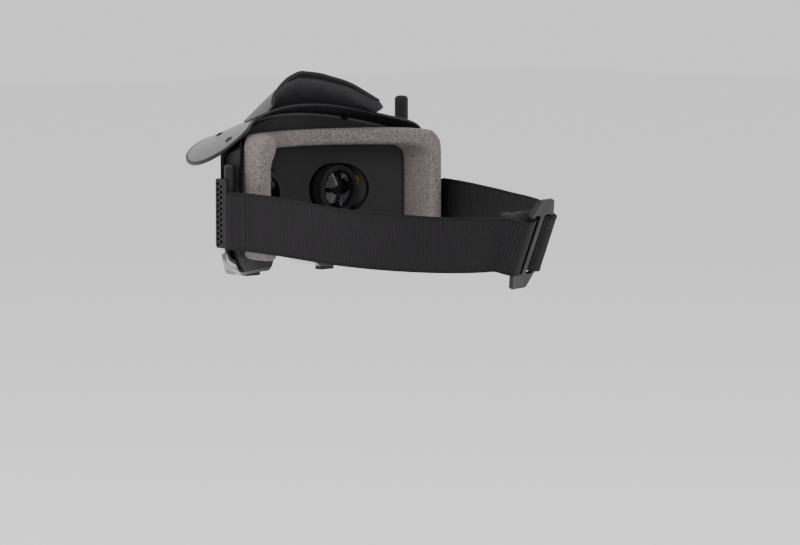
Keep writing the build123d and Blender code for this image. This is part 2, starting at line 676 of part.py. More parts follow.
# ---------------------------------------------------------------- eyepieces
def eyepiece():
    """The left eyepiece barrel: lens tube, cone, rail ears and the thumb tab under the shell."""
    profile = [
        (TUBE_RADIUS, TUBE_REAR_Y),
        (TUBE_RADIUS, BARREL_REAR_Y),
        (BARREL_RADIUS, BARREL_REAR_Y),
        (BARREL_FRONT_RADIUS, BARREL_FRONT_Y),
        (0, BARREL_FRONT_Y),
        (0, BARREL_FRONT_Y + BARREL_WALL),
        (BARREL_FRONT_RADIUS - BARREL_WALL, BARREL_FRONT_Y + BARREL_WALL),
        (TUBE_RADIUS - BARREL_WALL, BARREL_REAR_Y),
        (TUBE_RADIUS - BARREL_WALL, TUBE_REAR_Y),
    ]
    barrel = revolve(make_face(Polyline(*profile, close=True)), Axis.Y)
    ear_height = RAIL_RADIUS + EAR_REACH + RAIL_Z
    ear_low = BARREL_FRONT_RADIUS - BARREL_WALL
    for side in (1, -1):
        ear_z = side * (ear_height + ear_low) / 2
        barrel += Pos(0, RAIL_Y, ear_z) * Box(EAR_WIDTH, EAR_DEPTH, ear_height - ear_low)
    stem_top = -RAIL_Z
    tab_top = SHELL_BOTTOM_Z - TAB_GAP
    stem = Box(TAB_STEM_WIDTH, TAB_STEM_DEPTH, stem_top - tab_top)
    barrel += Pos(0, RAIL_Y, (stem_top + tab_top) / 2) * stem
    barrel += Pos(0, RAIL_Y, tab_top - TAB_HEIGHT / 2) * Box(TAB_WIDTH, TAB_DEPTH, TAB_HEIGHT)
    inside = Cone(
        BARREL_FRONT_RADIUS - BARREL_WALL,
        TUBE_RADIUS - BARREL_WALL,
        BARREL_REAR_Y - BARREL_FRONT_Y - BARREL_WALL,
        align=(Align.CENTER, Align.CENTER, Align.MIN),
    )
    barrel -= Pos(0, BARREL_FRONT_Y + BARREL_WALL, 0) * Rot(-90, 0, 0) * inside
    for z in (-RAIL_Z, RAIL_Z):
        barrel -= Pos(0, RAIL_Y, z) * Rot(0, 90, 0) * Cylinder(RAIL_RADIUS + RAIL_FIT, 2 * BARREL_RADIUS)
    return Pos(EYE_X, 0, 0) * barrel


def lens():
    """The left magnifying lens, flat towards the display and domed towards the eye."""
    radius = TUBE_RADIUS - BARREL_WALL
    rear = TUBE_REAR_Y - LENS_RECESS
    ball = Pos(0, rear - LENS_DOME_RADIUS, 0) * Sphere(LENS_DOME_RADIUS)
    return Pos(EYE_X, 0, 0) * (ball & y_cylinder(radius, rear - LENS_THICKNESS, rear))


def display():
    """The left microdisplay, on the closed front end of the barrel."""
    y = BARREL_FRONT_Y + BARREL_WALL + DISPLAY_THICKNESS / 2
    return Pos(EYE_X, y, 0) * Box(DISPLAY_WIDTH, DISPLAY_THICKNESS, DISPLAY_HEIGHT)


def focus_ring():
    """The left ribbed focus ring around the lens tube."""
    front = BARREL_REAR_Y + RING_GAP
    rear = TUBE_REAR_Y - RING_GAP
    root = BARREL_RADIUS - RING_RIB_DEPTH
    ring = y_cylinder(root, front, rear) - y_cylinder(TUBE_RADIUS + RING_FIT, front - 1, rear + 1)
    rib = Pos(root, (front + rear) / 2, 0) * Box(RING_RIB_DEPTH, rear - front, RING_RIB_WIDTH)
    for i in range(RING_RIBS):
        ring += Rot(0, 360 / RING_RIBS * i, 0) * rib
    return Pos(EYE_X, 0, 0) * ring


# ---------------------------------------------------------------- head strap
def strap_anchor():
    """Where the strap's inner face starts, at the rear edge of the perforated strip."""
    return (STRIP_X + STRIP_THICKNESS - STRAP_SEAT, STRIP_REAR_Y + STRAP_START)


def strap_ellipse():
    """Half width, half length and centre of the ellipse that the strap follows round the head."""
    return (HEAD_HALF_WIDTH + STRAP_HEAD_CLEARANCE, HEAD_HALF_LENGTH + STRAP_HEAD_CLEARANCE, HEAD_HALF_LENGTH)


def tangent_angle():
    """The ellipse angle at which the straight run from the anchor touches it."""
    half_width, half_length, centre = strap_ellipse()
    anchor_x, anchor_y = strap_anchor()
    p = anchor_x / half_width
    q = (anchor_y - centre) / half_length
    return math.acos(1 / math.hypot(p, q)) + math.atan2(q, p)


def ellipse_point(angle):
    """A point on the strap's ellipse; 90 degrees is the back of the head."""
    half_width, half_length, centre = strap_ellipse()
    return (half_width * math.cos(angle), centre + half_length * math.sin(angle))


def strap_plane(step):
    """Section plane at step 0 (front anchor) to 1 (ellipse touched) to 2 (back of the head).

    x runs up the width of the strap, y points out of the head, z along the strap.
    """
    start = tangent_angle()
    anchor = strap_anchor()
    touch = ellipse_point(start)
    half_width, half_length, _ = strap_ellipse()
    if step <= 1:
        x = anchor[0] + (touch[0] - anchor[0]) * step
        y = anchor[1] + (touch[1] - anchor[1]) * step
        tangent = Vector(touch[0] - anchor[0], touch[1] - anchor[1], 0).normalized()
    else:
        angle = start + (math.pi / 2 - start) * (step - 1)
        x, y = ellipse_point(angle)
        tangent = Vector(-half_width * math.sin(angle), half_length * math.cos(angle), 0).normalized()
    out = Vector(tangent.Y, -tangent.X, 0)
    ease = step / 2
    ease = ease * ease * (3 - 2 * ease)
    tilt = math.radians(STRAP_REAR_TILT_DEG) * max(0.0, step - 0.6) / 1.4
    up = Vector(0, 0, 1) * math.cos(tilt) + out * math.sin(tilt)
    z = STRAP_FRONT_Z + (STRAP_REAR_Z - STRAP_FRONT_Z) * ease
    return Plane(origin=(x, y, z), x_dir=up, z_dir=tangent)


def band(steps, width, inner, thickness):
    """A flat band along the strap's route."""
    sections = []
    for step in steps:
        plane = strap_plane(step)
        side = 1 if plane.y_dir.dot(Vector(plane.origin.X, plane.origin.Y - HEAD_HALF_LENGTH, 0)) > 0 else -1
        sections.append(plane * (Pos(0, side * (inner + thickness / 2)) * Rectangle(width, thickness)))
    return loft(sections)


def straight_step(distance):
    """The step at a distance behind the anchor on the straight run."""
    anchor = strap_anchor()
    touch = ellipse_point(tangent_angle())
    return distance / math.hypot(touch[0] - anchor[0], touch[1] - anchor[1])


def steps_between(low, high, count):
    """Evenly spaced steps."""
    return [low + (high - low) * i / (count - 1) for i in range(count)]


def step_before_back(distance):
    """The step at a distance short of the back of the head, measured along the strap."""
    return 2 - distance / strap_ellipse()[0] / (math.pi / 2 - tangent_angle())


def strap(short):
    """One half of the strap, drawn on the left, ending short of the back of the head by a distance."""
    start = straight_step(STRAP_END_LENGTH + STRAP_END_GAP)
    front = band(steps_between(start, 1.0, 5), STRAP_WIDTH, 0, STRAP_THICKNESS)
    rear = band(steps_between(1.0, step_before_back(short), 9), STRAP_WIDTH, 0, STRAP_THICKNESS)
    return front + rear


def strap_end():
    """The left end of the strap, with rounded corners, on the outrigger's tongue."""
    plane = strap_plane(0)
    length = STRAP_END_LENGTH
    flat = Plane(origin=plane.origin, x_dir=plane.z_dir, z_dir=outward(plane))
    outline = Pos(length / 2, 0) * Rectangle(length, STRAP_WIDTH)
    front = [v for v in outline.vertices() if v.X < 1]
    outline = fillet(front, STRAP_END_ROUND)
    return flat * extrude(outline, STRAP_THICKNESS)


def outward(plane):
    """The direction out of the head at a strap section on the left side."""
    return Vector(plane.z_dir.Y, -plane.z_dir.X, 0).normalized()


# ---------------------------------------------------------------- outriggers
def perforations():
    """Two staggered columns of round holes through the strip."""
    holes = []
    first = STRIP_BOTTOM_Z + PERFORATION_MARGIN
    last = STRIP_TOP_Z - PERFORATION_MARGIN
    count = int((last - first) / PERFORATION_PITCH) + 1
    column_gap = PERFORATION_PITCH * math.sqrt(3) / 2
    for column in (0, 1):
        y = STRIP_FRONT_Y + PERFORATION_MARGIN + column * column_gap
        for row in range(count - column):
            z = first + PERFORATION_PITCH * (row + column / 2)
            cutter = Rot(0, 90, 0) * Cylinder(PERFORATION_RADIUS, 6 * STRIP_THICKNESS)
            holes.append(Pos(STRIP_X, y, z) * cutter)
    return holes


def outrigger():
    """The left outrigger: hinge barrel, perforated strip and the tongue under the strap end."""
    height = STRIP_TOP_Z - STRIP_BOTTOM_Z
    middle_z = (STRIP_TOP_Z + STRIP_BOTTOM_Z) / 2
    depth = STRIP_REAR_Y - STRIP_FRONT_Y
    strip_face = RectangleRounded(depth, height, STRIP_ROUND)
    strip_centre = (STRIP_X, STRIP_FRONT_Y + depth / 2, middle_z)
    strip_plane = Plane(origin=strip_centre, x_dir=(0, 1, 0), z_dir=(1, 0, 0))
    body = strip_plane * extrude(strip_face, STRIP_THICKNESS)
    for hole in perforations():
        body -= hole
    barrel_height = POST_TOP_Z - POST_BOTTOM_Z
    barrel = Pos(POST_X, POST_Y, POST_BOTTOM_Z + barrel_height / 2) * Cylinder(POST_RADIUS, barrel_height)
    top_edge = barrel.edges().sort_by(Axis.Z)[-1]
    barrel = fillet(top_edge, POST_RADIUS * 0.6)
    web_width = STRIP_X + WEB_SINK - POST_X
    web_depth = depth - 2 * PERFORATION_MARGIN - PERFORATION_PITCH * math.sqrt(3) / 2
    web = Box(web_width, web_depth, height - 2 * WEB_MARGIN)
    web = Pos(POST_X + web_width / 2, STRIP_REAR_Y - web_depth / 2, middle_z) * web
    plane = strap_plane(0)
    flat = Plane(origin=plane.origin, x_dir=plane.z_dir, z_dir=outward(plane))
    tongue_width = STRAP_WIDTH - 2 * TONGUE_INSET
    reach = TONGUE_LENGTH + TONGUE_ROOT
    tongue = Box(reach, tongue_width, TONGUE_THICKNESS)
    tongue = flat * (Pos(reach / 2 - TONGUE_ROOT, 0, -TONGUE_THICKNESS / 2 - TONGUE_GAP) * tongue)
    body = body + web + barrel + tongue
    for ear in hinge_ears(EAR_FIT):
        body -= ear
    bore = Cylinder(PIN_RADIUS + PIN_FIT, barrel_height - PIN_TOP_GAP / 2)
    return body - Pos(POST_X, POST_Y, POST_BOTTOM_Z + (barrel_height - PIN_TOP_GAP / 2) / 2) * bore


def hinge_pin():
    """The left hinge pin, from under the barrel to just below its domed top."""
    low = POST_BOTTOM_Z
    high = POST_TOP_Z - PIN_TOP_GAP
    return Pos(POST_X, POST_Y, (low + high) / 2) * Cylinder(PIN_RADIUS, high - low)


# ---------------------------------------------------------------- rear buckle and back pad
def buckle_lift():
    """How far the buckle stands off the strap's line, to let the strap pass under its middle bar."""
    return STRAP_THICKNESS + 2 * WEAVE_FIT


def buckle_plane():
    """The buckle's plane at the outer face of the strap, on the wearer's left before mirroring."""
    plane = strap_plane(step_before_back(BUCKLE_OFFSET))
    out = plane.z_dir.cross(plane.x_dir).normalized()
    if out.Y < 0:
        out = out * -1
    origin = plane.origin + out * STRAP_THICKNESS
    return Plane(origin=origin, x_dir=plane.z_dir, z_dir=out)


def rear_buckle():
    """A three-bar slider: two slots beside a middle bar."""
    half = BUCKLE_WIDTH / 2
    end = BUCKLE_END_WIDTH / 2
    tall = BUCKLE_HEIGHT / 2
    slot_tall = STRAP_WIDTH + 2 * BUCKLE_SLOT_MARGIN
    outline = make_face(
        Polyline(
            (half, slot_tall / 2),
            (end, tall),
            (-end, tall),
            (-half, slot_tall / 2),
            (-half, -slot_tall / 2),
            (-end, -tall),
            (end, -tall),
            (half, -slot_tall / 2),
            close=True,
        )
    )
    outline = fillet(outline.vertices(), BUCKLE_ROUND)
    slot_wide = half - BUCKLE_SIDE_BAR - BUCKLE_MIDDLE_BAR / 2
    for side in (1, -1):
        centre = side * (BUCKLE_MIDDLE_BAR / 2 + slot_wide / 2)
        outline -= Pos(centre, 0) * RectangleRounded(slot_wide, slot_tall, BUCKLE_SLOT_ROUND)
    frame = Pos(0, 0, buckle_lift()) * extrude(outline, BUCKLE_THICKNESS)
    frame = fillet(frame.edges().group_by(Axis.Z)[-1], BUCKLE_EDGE_ROUND)
    return buckle_plane() * frame


def strap_weave():
    """The strap where it passes over the buckle's side bars and under its middle bar."""
    bend = strap_ellipse()[0] ** 2 / strap_ellipse()[1]
    on_head = WEAVE_RISE - (WEAVE_REACH**2) / (2 * bend) - STRAP_THICKNESS / 2
    slope = WEAVE_REACH / bend
    under = STRAP_THICKNESS / 2 + WEAVE_FIT / 2
    over = buckle_lift() + BUCKLE_THICKNESS + WEAVE_FIT + STRAP_THICKNESS / 2
    side_bar = BUCKLE_WIDTH / 2 - BUCKLE_SIDE_BAR / 2
    slot = (BUCKLE_WIDTH / 2 - BUCKLE_SIDE_BAR + BUCKLE_MIDDLE_BAR / 2) / 2
    half = [
        (0, under),
        (BUCKLE_MIDDLE_BAR / 2 + 0.4, under + 0.05),
        (slot, (under + over) / 2),
        (side_bar - 2.0, over - 0.05),
        (side_bar + 2.0, over),
        (BUCKLE_WIDTH / 2 + 4.6, (on_head + over) / 2 - 0.3),
        (WEAVE_REACH, on_head),
    ]
    points = [(-x, z) for x, z in reversed(half[1:])] + half
    tangents = [Vector(1, slope), Vector(1, -slope)]
    line = Spline(*points, tangents=tangents)
    profile = trace(line, STRAP_THICKNESS)
    return buckle_plane() * (Rot(90, 0, 0) * extrude(profile, STRAP_WIDTH / 2, both=True))


def back_pad():
    """The soft pad between the strap and the back of the head, behind the buckle."""
    half_width = strap_ellipse()[0]
    reach = BACK_PAD_LENGTH / 2 / half_width / (math.pi / 2 - tangent_angle())
    middle = step_before_back(BUCKLE_OFFSET)
    inner = -BACK_PAD_THICKNESS - BACK_PAD_GAP
    inside = band(steps_between(middle - reach, 2.0, 6), BACK_PAD_WIDTH, inner, BACK_PAD_THICKNESS)
    over = middle + reach - 2.0
    if over <= 0:
        return inside
    across = band(steps_between(2.0 - over, 2.0, 4), BACK_PAD_WIDTH, inner, BACK_PAD_THICKNESS)
    return inside + mirror(across, Plane.YZ)


# ---------------------------------------------------------------- electronics
def main_board():
    """The main circuit board on its four bosses."""
    board = Box(BOARD_WIDTH, BOARD_THICKNESS, BOARD_HEIGHT)
    board = Pos(0, BOARD_Y - BOARD_THICKNESS / 2, BOARD_CENTRE_Z) * board
    for hole in board_bosses(SCREW_RADIUS + SCREW_FIT, BOARD_Y - 2 * BOARD_THICKNESS, BOARD_Y + 1):
        board -= hole
    return board


def board_screws():
    """Four pan-head screws through the board into the bosses."""
    tip = BOARD_Y - BOARD_THICKNESS - SCREW_LENGTH + SCREW_FIT
    shanks = board_bosses(SCREW_RADIUS, tip, BOARD_Y + 2 * SEAT_GAP)
    heads = board_bosses(SCREW_HEAD_RADIUS, BOARD_Y + SEAT_GAP, BOARD_Y + SCREW_HEAD_HEIGHT)
    return Compound(children=[shank + head for shank, head in zip(shanks, heads)])


def on_board(x, size):
    """A chip or can on the front of the board."""
    y = BOARD_Y - BOARD_THICKNESS - SEAT_GAP - size[1] / 2
    return Pos(x, y, BOARD_CENTRE_Z - CHIP_DROP) * Box(*size)


def receiver_module():
    """The shielded video receiver."""
    return on_board(RECEIVER_X, RECEIVER_SIZE)


def processor():
    """The video processor with its heat spreader."""
    return on_board(PROCESSOR_X, PROCESSOR_SIZE)


def fan_rear():
    """The rear face of the fan."""
    return NOSE_Y + SHELL_WALL + FAN_GAP + FAN_DEPTH


def fan_frame():
    """The square frame of the cooling fan with its bearing spider."""
    rear = fan_rear()
    front = rear - FAN_DEPTH
    frame = along_y(Pos(0, FAN_Z) * RectangleRounded(FAN_SIZE, FAN_SIZE, 1.5), front, rear)
    frame -= y_cylinder(FAN_SIZE / 2 - FAN_WALL, front - 1, rear + 1, 0, FAN_Z)
    for angle in (45, 135):
        spoke = Box(FAN_SIZE - FAN_WALL, FAN_SPIDER, 2 * FAN_BLADE_THICKNESS)
        frame += Pos(0, rear - FAN_SPIDER / 2, FAN_Z) * Rot(0, angle, 0) * spoke
    frame += y_cylinder(FAN_HUB_RADIUS - FAN_CLEARANCE, rear - FAN_SPIDER, rear, 0, FAN_Z)
    return frame + y_cylinder(FAN_STUB_RADIUS, rear - FAN_DEPTH + 2 * FAN_SPIDER, rear, 0, FAN_Z)


def fan_rotor():
    """The fan's hub and blades on the spider's stub."""
    rear = fan_rear() - FAN_SPIDER - FAN_CLEARANCE
    front = fan_rear() - FAN_DEPTH + FAN_CLEARANCE
    rotor = y_cylinder(FAN_HUB_RADIUS, front, rear, 0, FAN_Z)
    reach = FAN_SIZE / 2 - FAN_WALL - FAN_CLEARANCE
    blade = Box(reach, rear - front - 2 * FAN_CLEARANCE, FAN_BLADE_THICKNESS)
    blade = Pos(reach / 2, 0, 0) * Rot(FAN_BLADE_PITCH_DEG, 0, 0) * blade
    for i in range(FAN_BLADES):
        rotor += Pos(0, (front + rear) / 2, FAN_Z) * Rot(0, 360 / FAN_BLADES * i, 0) * blade
    return rotor - y_cylinder(FAN_STUB_RADIUS + RAIL_FIT, front + FAN_SPIDER, rear + 1, 0, FAN_Z)


def vent_grille():
    """The slotted grille in front of the fan."""
    size = GRILLE_SIZE - 2 * GRILLE_FIT
    plan = along_z(plan_face(60), -REACH / 4, REACH / 4)
    inner = along_z(offset(plan_face(60), -SHELL_WALL, kind=Kind.INTERSECTION), -REACH / 4, REACH / 4)
    grille = (plan - inner) & grille_cutter(size, 2 * NOSE_Y, NOSE_Y + 3 * SHELL_WALL)
    open_size = size - 2 * GRILLE_MARGIN
    pitch = open_size / GRILLE_SLOTS
    for i in range(GRILLE_SLOTS):
        z = FAN_Z - open_size / 2 + pitch * (i + 0.5)
        grille -= Pos(0, NOSE_Y, z) * Box(open_size, 8 * SHELL_WALL, pitch / 2)
    return grille


# ---------------------------------------------------------------- side controls and sockets
def round_button(along):
    """A round button on the left side wall, kept in by its flange."""
    depth = SHELL_WALL + BUTTON_STEM
    body = Pos(0, 0, (BUTTON_PROUD - depth) / 2) * Cylinder(BUTTON_RADIUS, BUTTON_PROUD + depth)
    flange = Cylinder(BUTTON_RADIUS + BUTTON_FLANGE_WIDTH, BUTTON_FLANGE)
    flange = Pos(0, 0, -SHELL_WALL - FLANGE_GAP - BUTTON_FLANGE / 2) * flange
    return side_plane(along, BUTTON_Z) * (body + flange)


def switch_board():
    """The small board behind the two round buttons, with a push switch under each."""
    top = -SHELL_WALL - FLANGE_GAP - BUTTON_FLANGE - BUTTON_TRAVEL
    middle = sum(BUTTON_ALONG) / 2
    plane = side_plane(middle, BUTTON_Z)
    board = Box(SWITCH_BOARD_LENGTH, SWITCH_BOARD_WIDTH, SWITCH_BOARD)
    board = Pos(0, 0, top - SWITCH_HEIGHT - SWITCH_BOARD / 2) * board
    switch = Box(SWITCH_SIZE, SWITCH_SIZE, SWITCH_HEIGHT)
    for along in BUTTON_ALONG:
        board += Pos(along - middle, 0, top - SWITCH_HEIGHT / 2) * switch
    return plane * board


def menu_key():
    """The rounded menu key low on the left side wall."""
    face = key_face(0)
    wide = key_face(BUTTON_FLANGE_WIDTH)
    depth = SHELL_WALL + BUTTON_STEM
    top = Pos(0, 0, -depth) * extrude(face, depth + KEY_PROUD)
    top = fillet(top.edges().group_by(Axis.Z)[-1], KEY_ROUND)
    flange = Pos(0, 0, -SHELL_WALL - FLANGE_GAP - BUTTON_FLANGE) * extrude(wide, BUTTON_FLANGE)
    return side_plane(KEY_ALONG, KEY_Z) * (top + flange)


def sma_jack(along):
    """A threaded aerial jack on the right side wall."""
    plane = side_plane(along, SMA_Z)
    body = Pos(0, 0, (SMA_LENGTH - SHELL_WALL) / 2) * Cylinder(SMA_RADIUS, SMA_LENGTH + SHELL_WALL)
    nut = Pos(0, 0, SEAT_GAP) * extrude(RegularPolygon(SMA_NUT_RADIUS, 6), SMA_NUT_HEIGHT)
    washer = Pos(0, 0, -SHELL_WALL - SEAT_GAP - SMA_WASHER / 2) * Cylinder(SMA_NUT_RADIUS, SMA_WASHER)
    jack = body + nut + washer
    jack += Pos(0, 0, -SHELL_WALL - SEAT_GAP) * Cylinder(SMA_RADIUS, 4 * SEAT_GAP)
    jack -= Pos(0, 0, SMA_LENGTH) * Cylinder(SMA_BORE_RADIUS, SMA_LENGTH + SHELL_WALL)
    return mirror(plane * jack, Plane.YZ)


def socket(radius, bore_radius):
    """A round socket body with a blind bore, standing through XY."""
    length = JACK_PROUD + JACK_DEPTH
    body = Pos(0, 0, (JACK_PROUD - JACK_DEPTH) / 2) * Cylinder(radius, length)
    return body - Pos(0, 0, JACK_PROUD) * Cylinder(bore_radius, 2 * (length - JACK_FLOOR))


def av_jack():
    """The audio and video socket on the right side wall."""
    plane = side_plane(AV_ALONG, JACK_Z)
    return mirror(plane * socket(AV_RADIUS, AV_BORE_RADIUS), Plane.YZ)


def dc_jack():
    """The power socket on the right side wall."""
    plane = side_plane(DC_ALONG, JACK_Z)
    body = socket(DC_RADIUS, DC_BORE_RADIUS)
    body += Pos(0, 0, -JACK_DEPTH / 2) * Cylinder(DC_PIN_RADIUS, JACK_DEPTH)
    return mirror(plane * body, Plane.YZ)


# ---------------------------------------------------------------- aerial
def antenna_plane():
    """The aerial jack's plane on the left side wall, before mirroring."""
    return side_plane(ANTENNA_ALONG, SMA_Z)


def antenna_collar():
    """The knurled collar that turns on the jack, with the elbow's fork."""
    body = Cylinder(ANTENNA_COLLAR_RADIUS, ANTENNA_COLLAR_LENGTH)
    body = Pos(0, 0, ANTENNA_START + ANTENNA_COLLAR_LENGTH / 2) * body
    bore_length = SMA_LENGTH - ANTENNA_START + 2 * KNUCKLE_GAP
    body -= Pos(0, 0, ANTENNA_START + bore_length / 2) * Cylinder(SMA_RADIUS + ANTENNA_FIT, bore_length)
    cheek = Pos(0, 0, ANTENNA_PIVOT - FORK_CHEEK) * Box(FORK_CHEEK, FORK_HEIGHT, FORK_LENGTH)
    for side in (1, -1):
        body += Pos(side * (FORK_WIDTH - FORK_CHEEK) / 2, 0, 0) * cheek
    body -= Pos(0, 0, ANTENNA_PIVOT) * Rot(0, 90, 0) * Cylinder(ANTENNA_PIN_RADIUS, 2 * FORK_WIDTH)
    return mirror(antenna_plane() * body, Plane.YZ)


def antenna_pin():
    """The elbow's cross pin."""
    pin = Pos(0, 0, ANTENNA_PIVOT) * Rot(0, 90, 0) * Cylinder(ANTENNA_PIN_RADIUS, FORK_WIDTH)
    return mirror(antenna_plane() * pin, Plane.YZ)


def antenna_whip():
    """The aerial's knuckle and its rounded sleeve, standing upright."""
    width = FORK_WIDTH - 2 * (FORK_CHEEK + KNUCKLE_GAP)
    bore = Rot(0, 90, 0) * Cylinder(ANTENNA_PIN_RADIUS + ANTENNA_FIT, 2 * FORK_WIDTH)
    knuckle = Rot(0, 90, 0) * Cylinder(KNUCKLE_RADIUS, width)
    neck = Pos(0, NECK_LENGTH - width / 2, 0) * Box(width, width, width)
    sleeve = Rot(90, 0, 0) * Cylinder(ANTENNA_RADIUS, ANTENNA_LENGTH)
    sleeve = Pos(0, NECK_LENGTH + ANTENNA_LENGTH / 2, 0) * sleeve
    sleeve = fillet(sleeve.edges().sort_by(Axis.Y)[-1], ANTENNA_TIP_ROUND)
    whip = Pos(0, 0, ANTENNA_PIVOT) * (knuckle + neck + sleeve - bore)
    return mirror(antenna_plane() * whip, Plane.YZ)


# ---------------------------------------------------------------- write every node
save(front_shell(), "front_shell")
save(eye_frame(), "eye_frame")
save(sun_hood(), "sun_hood")
save(hood_rivets(), "hood_rivets")
save(hood_studs(), "hood_studs")
save(forehead_flap(), "forehead_flap")
save(pad_fastener(), "pad_fastener")
save(face_pad(), "face_pad")
save(nose_flap(), "nose_flap")
save(ipd_rails(), "ipd_rails")
both_sides(eyepiece(), "eyepiece")
both_sides(lens(), "lens")
both_sides(display(), "display")
both_sides(focus_ring(), "focus_ring")
both_sides(outrigger(), "outrigger")
both_sides(hinge_pin(), "hinge_pin")
both_sides(strap_end(), "strap_end")
save(strap(WEAVE_REACH - BUCKLE_OFFSET + WEAVE_GAP), "strap_left")
save(mirror(strap(BUCKLE_OFFSET + WEAVE_REACH + WEAVE_GAP), Plane.YZ), "strap_right")
save(mirror(rear_buckle(), Plane.YZ), "rear_buckle")
save(mirror(strap_weave(), Plane.YZ), "strap_weave")
save(mirror(back_pad(), Plane.YZ), "back_pad")
save(main_board(), "main_board")
save(board_screws(), "board_screws")
save(receiver_module(), "receiver_module")
save(processor(), "processor")
save(fan_frame(), "fan_frame")
save(fan_rotor(), "fan_rotor")
save(vent_grille(), "vent_grille")
save(menu_key(), "menu_key")
save(round_button(BUTTON_ALONG[0]), "power_button")
save(round_button(BUTTON_ALONG[1]), "record_button")
save(switch_board(), "switch_board")
save(sma_jack(SMA_ALONG), "aerial_jack_free")
save(sma_jack(ANTENNA_ALONG), "aerial_jack")
save(av_jack(), "av_jack")
save(dc_jack(), "dc_jack")
save(antenna_collar(), "antenna_collar")
save(antenna_pin(), "antenna_pin")
save(antenna_whip(), "antenna_whip")
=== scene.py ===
import math

import bmesh
import bpy
import numpy as np
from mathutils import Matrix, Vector


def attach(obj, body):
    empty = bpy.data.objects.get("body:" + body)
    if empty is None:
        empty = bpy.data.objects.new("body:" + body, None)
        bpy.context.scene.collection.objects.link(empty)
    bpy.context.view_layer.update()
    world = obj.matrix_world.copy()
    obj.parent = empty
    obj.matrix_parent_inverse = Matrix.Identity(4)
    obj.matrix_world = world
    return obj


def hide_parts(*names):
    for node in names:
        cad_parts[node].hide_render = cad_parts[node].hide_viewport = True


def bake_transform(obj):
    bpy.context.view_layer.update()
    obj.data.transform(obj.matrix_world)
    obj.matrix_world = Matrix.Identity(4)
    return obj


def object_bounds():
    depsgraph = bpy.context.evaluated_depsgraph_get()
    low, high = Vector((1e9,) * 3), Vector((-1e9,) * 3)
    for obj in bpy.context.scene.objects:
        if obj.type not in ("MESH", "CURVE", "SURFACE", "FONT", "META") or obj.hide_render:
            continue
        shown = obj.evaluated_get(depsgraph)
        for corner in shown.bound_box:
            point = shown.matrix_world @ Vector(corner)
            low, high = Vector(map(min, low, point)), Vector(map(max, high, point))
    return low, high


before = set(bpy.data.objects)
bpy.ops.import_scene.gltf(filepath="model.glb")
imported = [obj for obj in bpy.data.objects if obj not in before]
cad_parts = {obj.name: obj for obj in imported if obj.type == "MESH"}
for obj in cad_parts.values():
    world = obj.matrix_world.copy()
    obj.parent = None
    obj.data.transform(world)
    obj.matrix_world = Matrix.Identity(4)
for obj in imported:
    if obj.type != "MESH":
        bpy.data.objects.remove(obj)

cad_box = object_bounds()


# ---- Photo studio: a pale sweep, soft box lights and a camera behind the wearer's left shoulder ----
# The paper lies well below the goggles, because a head holds them up.
def linear(hex_colour):
    """A linear RGBA colour from an sRGB hex code."""
    channels = [int(hex_colour[i : i + 2], 16) / 255 for i in (1, 3, 5)]
    return tuple(c / 12.92 if c <= 0.04045 else ((c + 0.055) / 1.055) ** 2.4 for c in channels) + (1.0,)


def add_node(tree, kind, inputs=None, **settings):
    """One shader node with its settings, its inputs set to values or linked from sockets."""
    node = tree.nodes.new(kind)
    for name, value in settings.items():
        setattr(node, name, value)
    for name, value in (inputs or {}).items():
        if isinstance(value, bpy.types.NodeSocket):
            tree.links.new(value, node.inputs[name])
        else:
            node.inputs[name].default_value = value
    return node


def new_material(name, roughness, **sockets):
    """A material, its node tree and its Principled shader, with the plain values set on the shader."""
    material = bpy.data.materials.new(name)
    material.use_nodes = True
    shader = material.node_tree.nodes["Principled BSDF"]
    shader.inputs["Roughness"].default_value = roughness
    for socket, value in sockets.items():
        shader.inputs[socket.replace("_", " ")].default_value = value
    return material, material.node_tree, shader


def ramp(tree, factor, stops, interpolation="LINEAR"):
    """A colour ramp through (position, hex colour) stops."""
    node = add_node(tree, "ShaderNodeValToRGB", {"Fac": factor})
    node.color_ramp.interpolation = interpolation
    elements = node.color_ramp.elements
    while len(elements) < len(stops):
        elements.new(1.0)
    for element, (position, colour) in zip(elements, stops):
        element.position = position
        element.color = linear(colour)
    return node.outputs["Color"]


def grain(tree, pitch, detail=3.0, roughness=0.55):
    """Noise with a pitch in metres, in object space."""
    place = add_node(tree, "ShaderNodeTexCoord").outputs["Object"]
    settings = {"Vector": place, "Scale": 1 / pitch, "Detail": detail, "Roughness": roughness}
    return add_node(tree, "ShaderNodeTexNoise", settings).outputs["Fac"]


def bump(tree, shader, height, strength, distance):
    """Link a height to the shader's normal."""
    node = add_node(tree, "ShaderNodeBump", {"Height": height, "Strength": strength, "Distance": distance})
    tree.links.new(node.outputs["Normal"], shader.inputs["Normal"])


def colour_by(tree, shader, colour):
    """Link a colour to the shader."""
    tree.links.new(colour, shader.inputs["Base Color"])


def soft_box(name, place, aim, size, power):
    """A square soft box at place, turned towards aim."""
    data = bpy.data.lights.new(name, "AREA")
    data.size = size
    data.energy = power
    light = bpy.data.objects.new(name, data)
    light.location = place
    light.rotation_euler = (Vector(aim) - Vector(place)).to_track_quat("-Z", "Y").to_euler()
    bpy.context.collection.objects.link(light)


bpy.ops.object.select_all(action="DESELECT")
bpy.ops.mesh.primitive_plane_add(size=16, location=(0, 0, cad_box[0][2] - 0.3))
paper = bpy.context.object
paper.name = "backdrop_paper"
paper_white, tree, shader = new_material("matt white backdrop paper", 0.9)
colour_by(tree, shader, ramp(tree, grain(tree, 0.002), [(0.3, "#f3f3f4"), (0.7, "#fbfbfb")]))
paper.data.materials.append(paper_white)

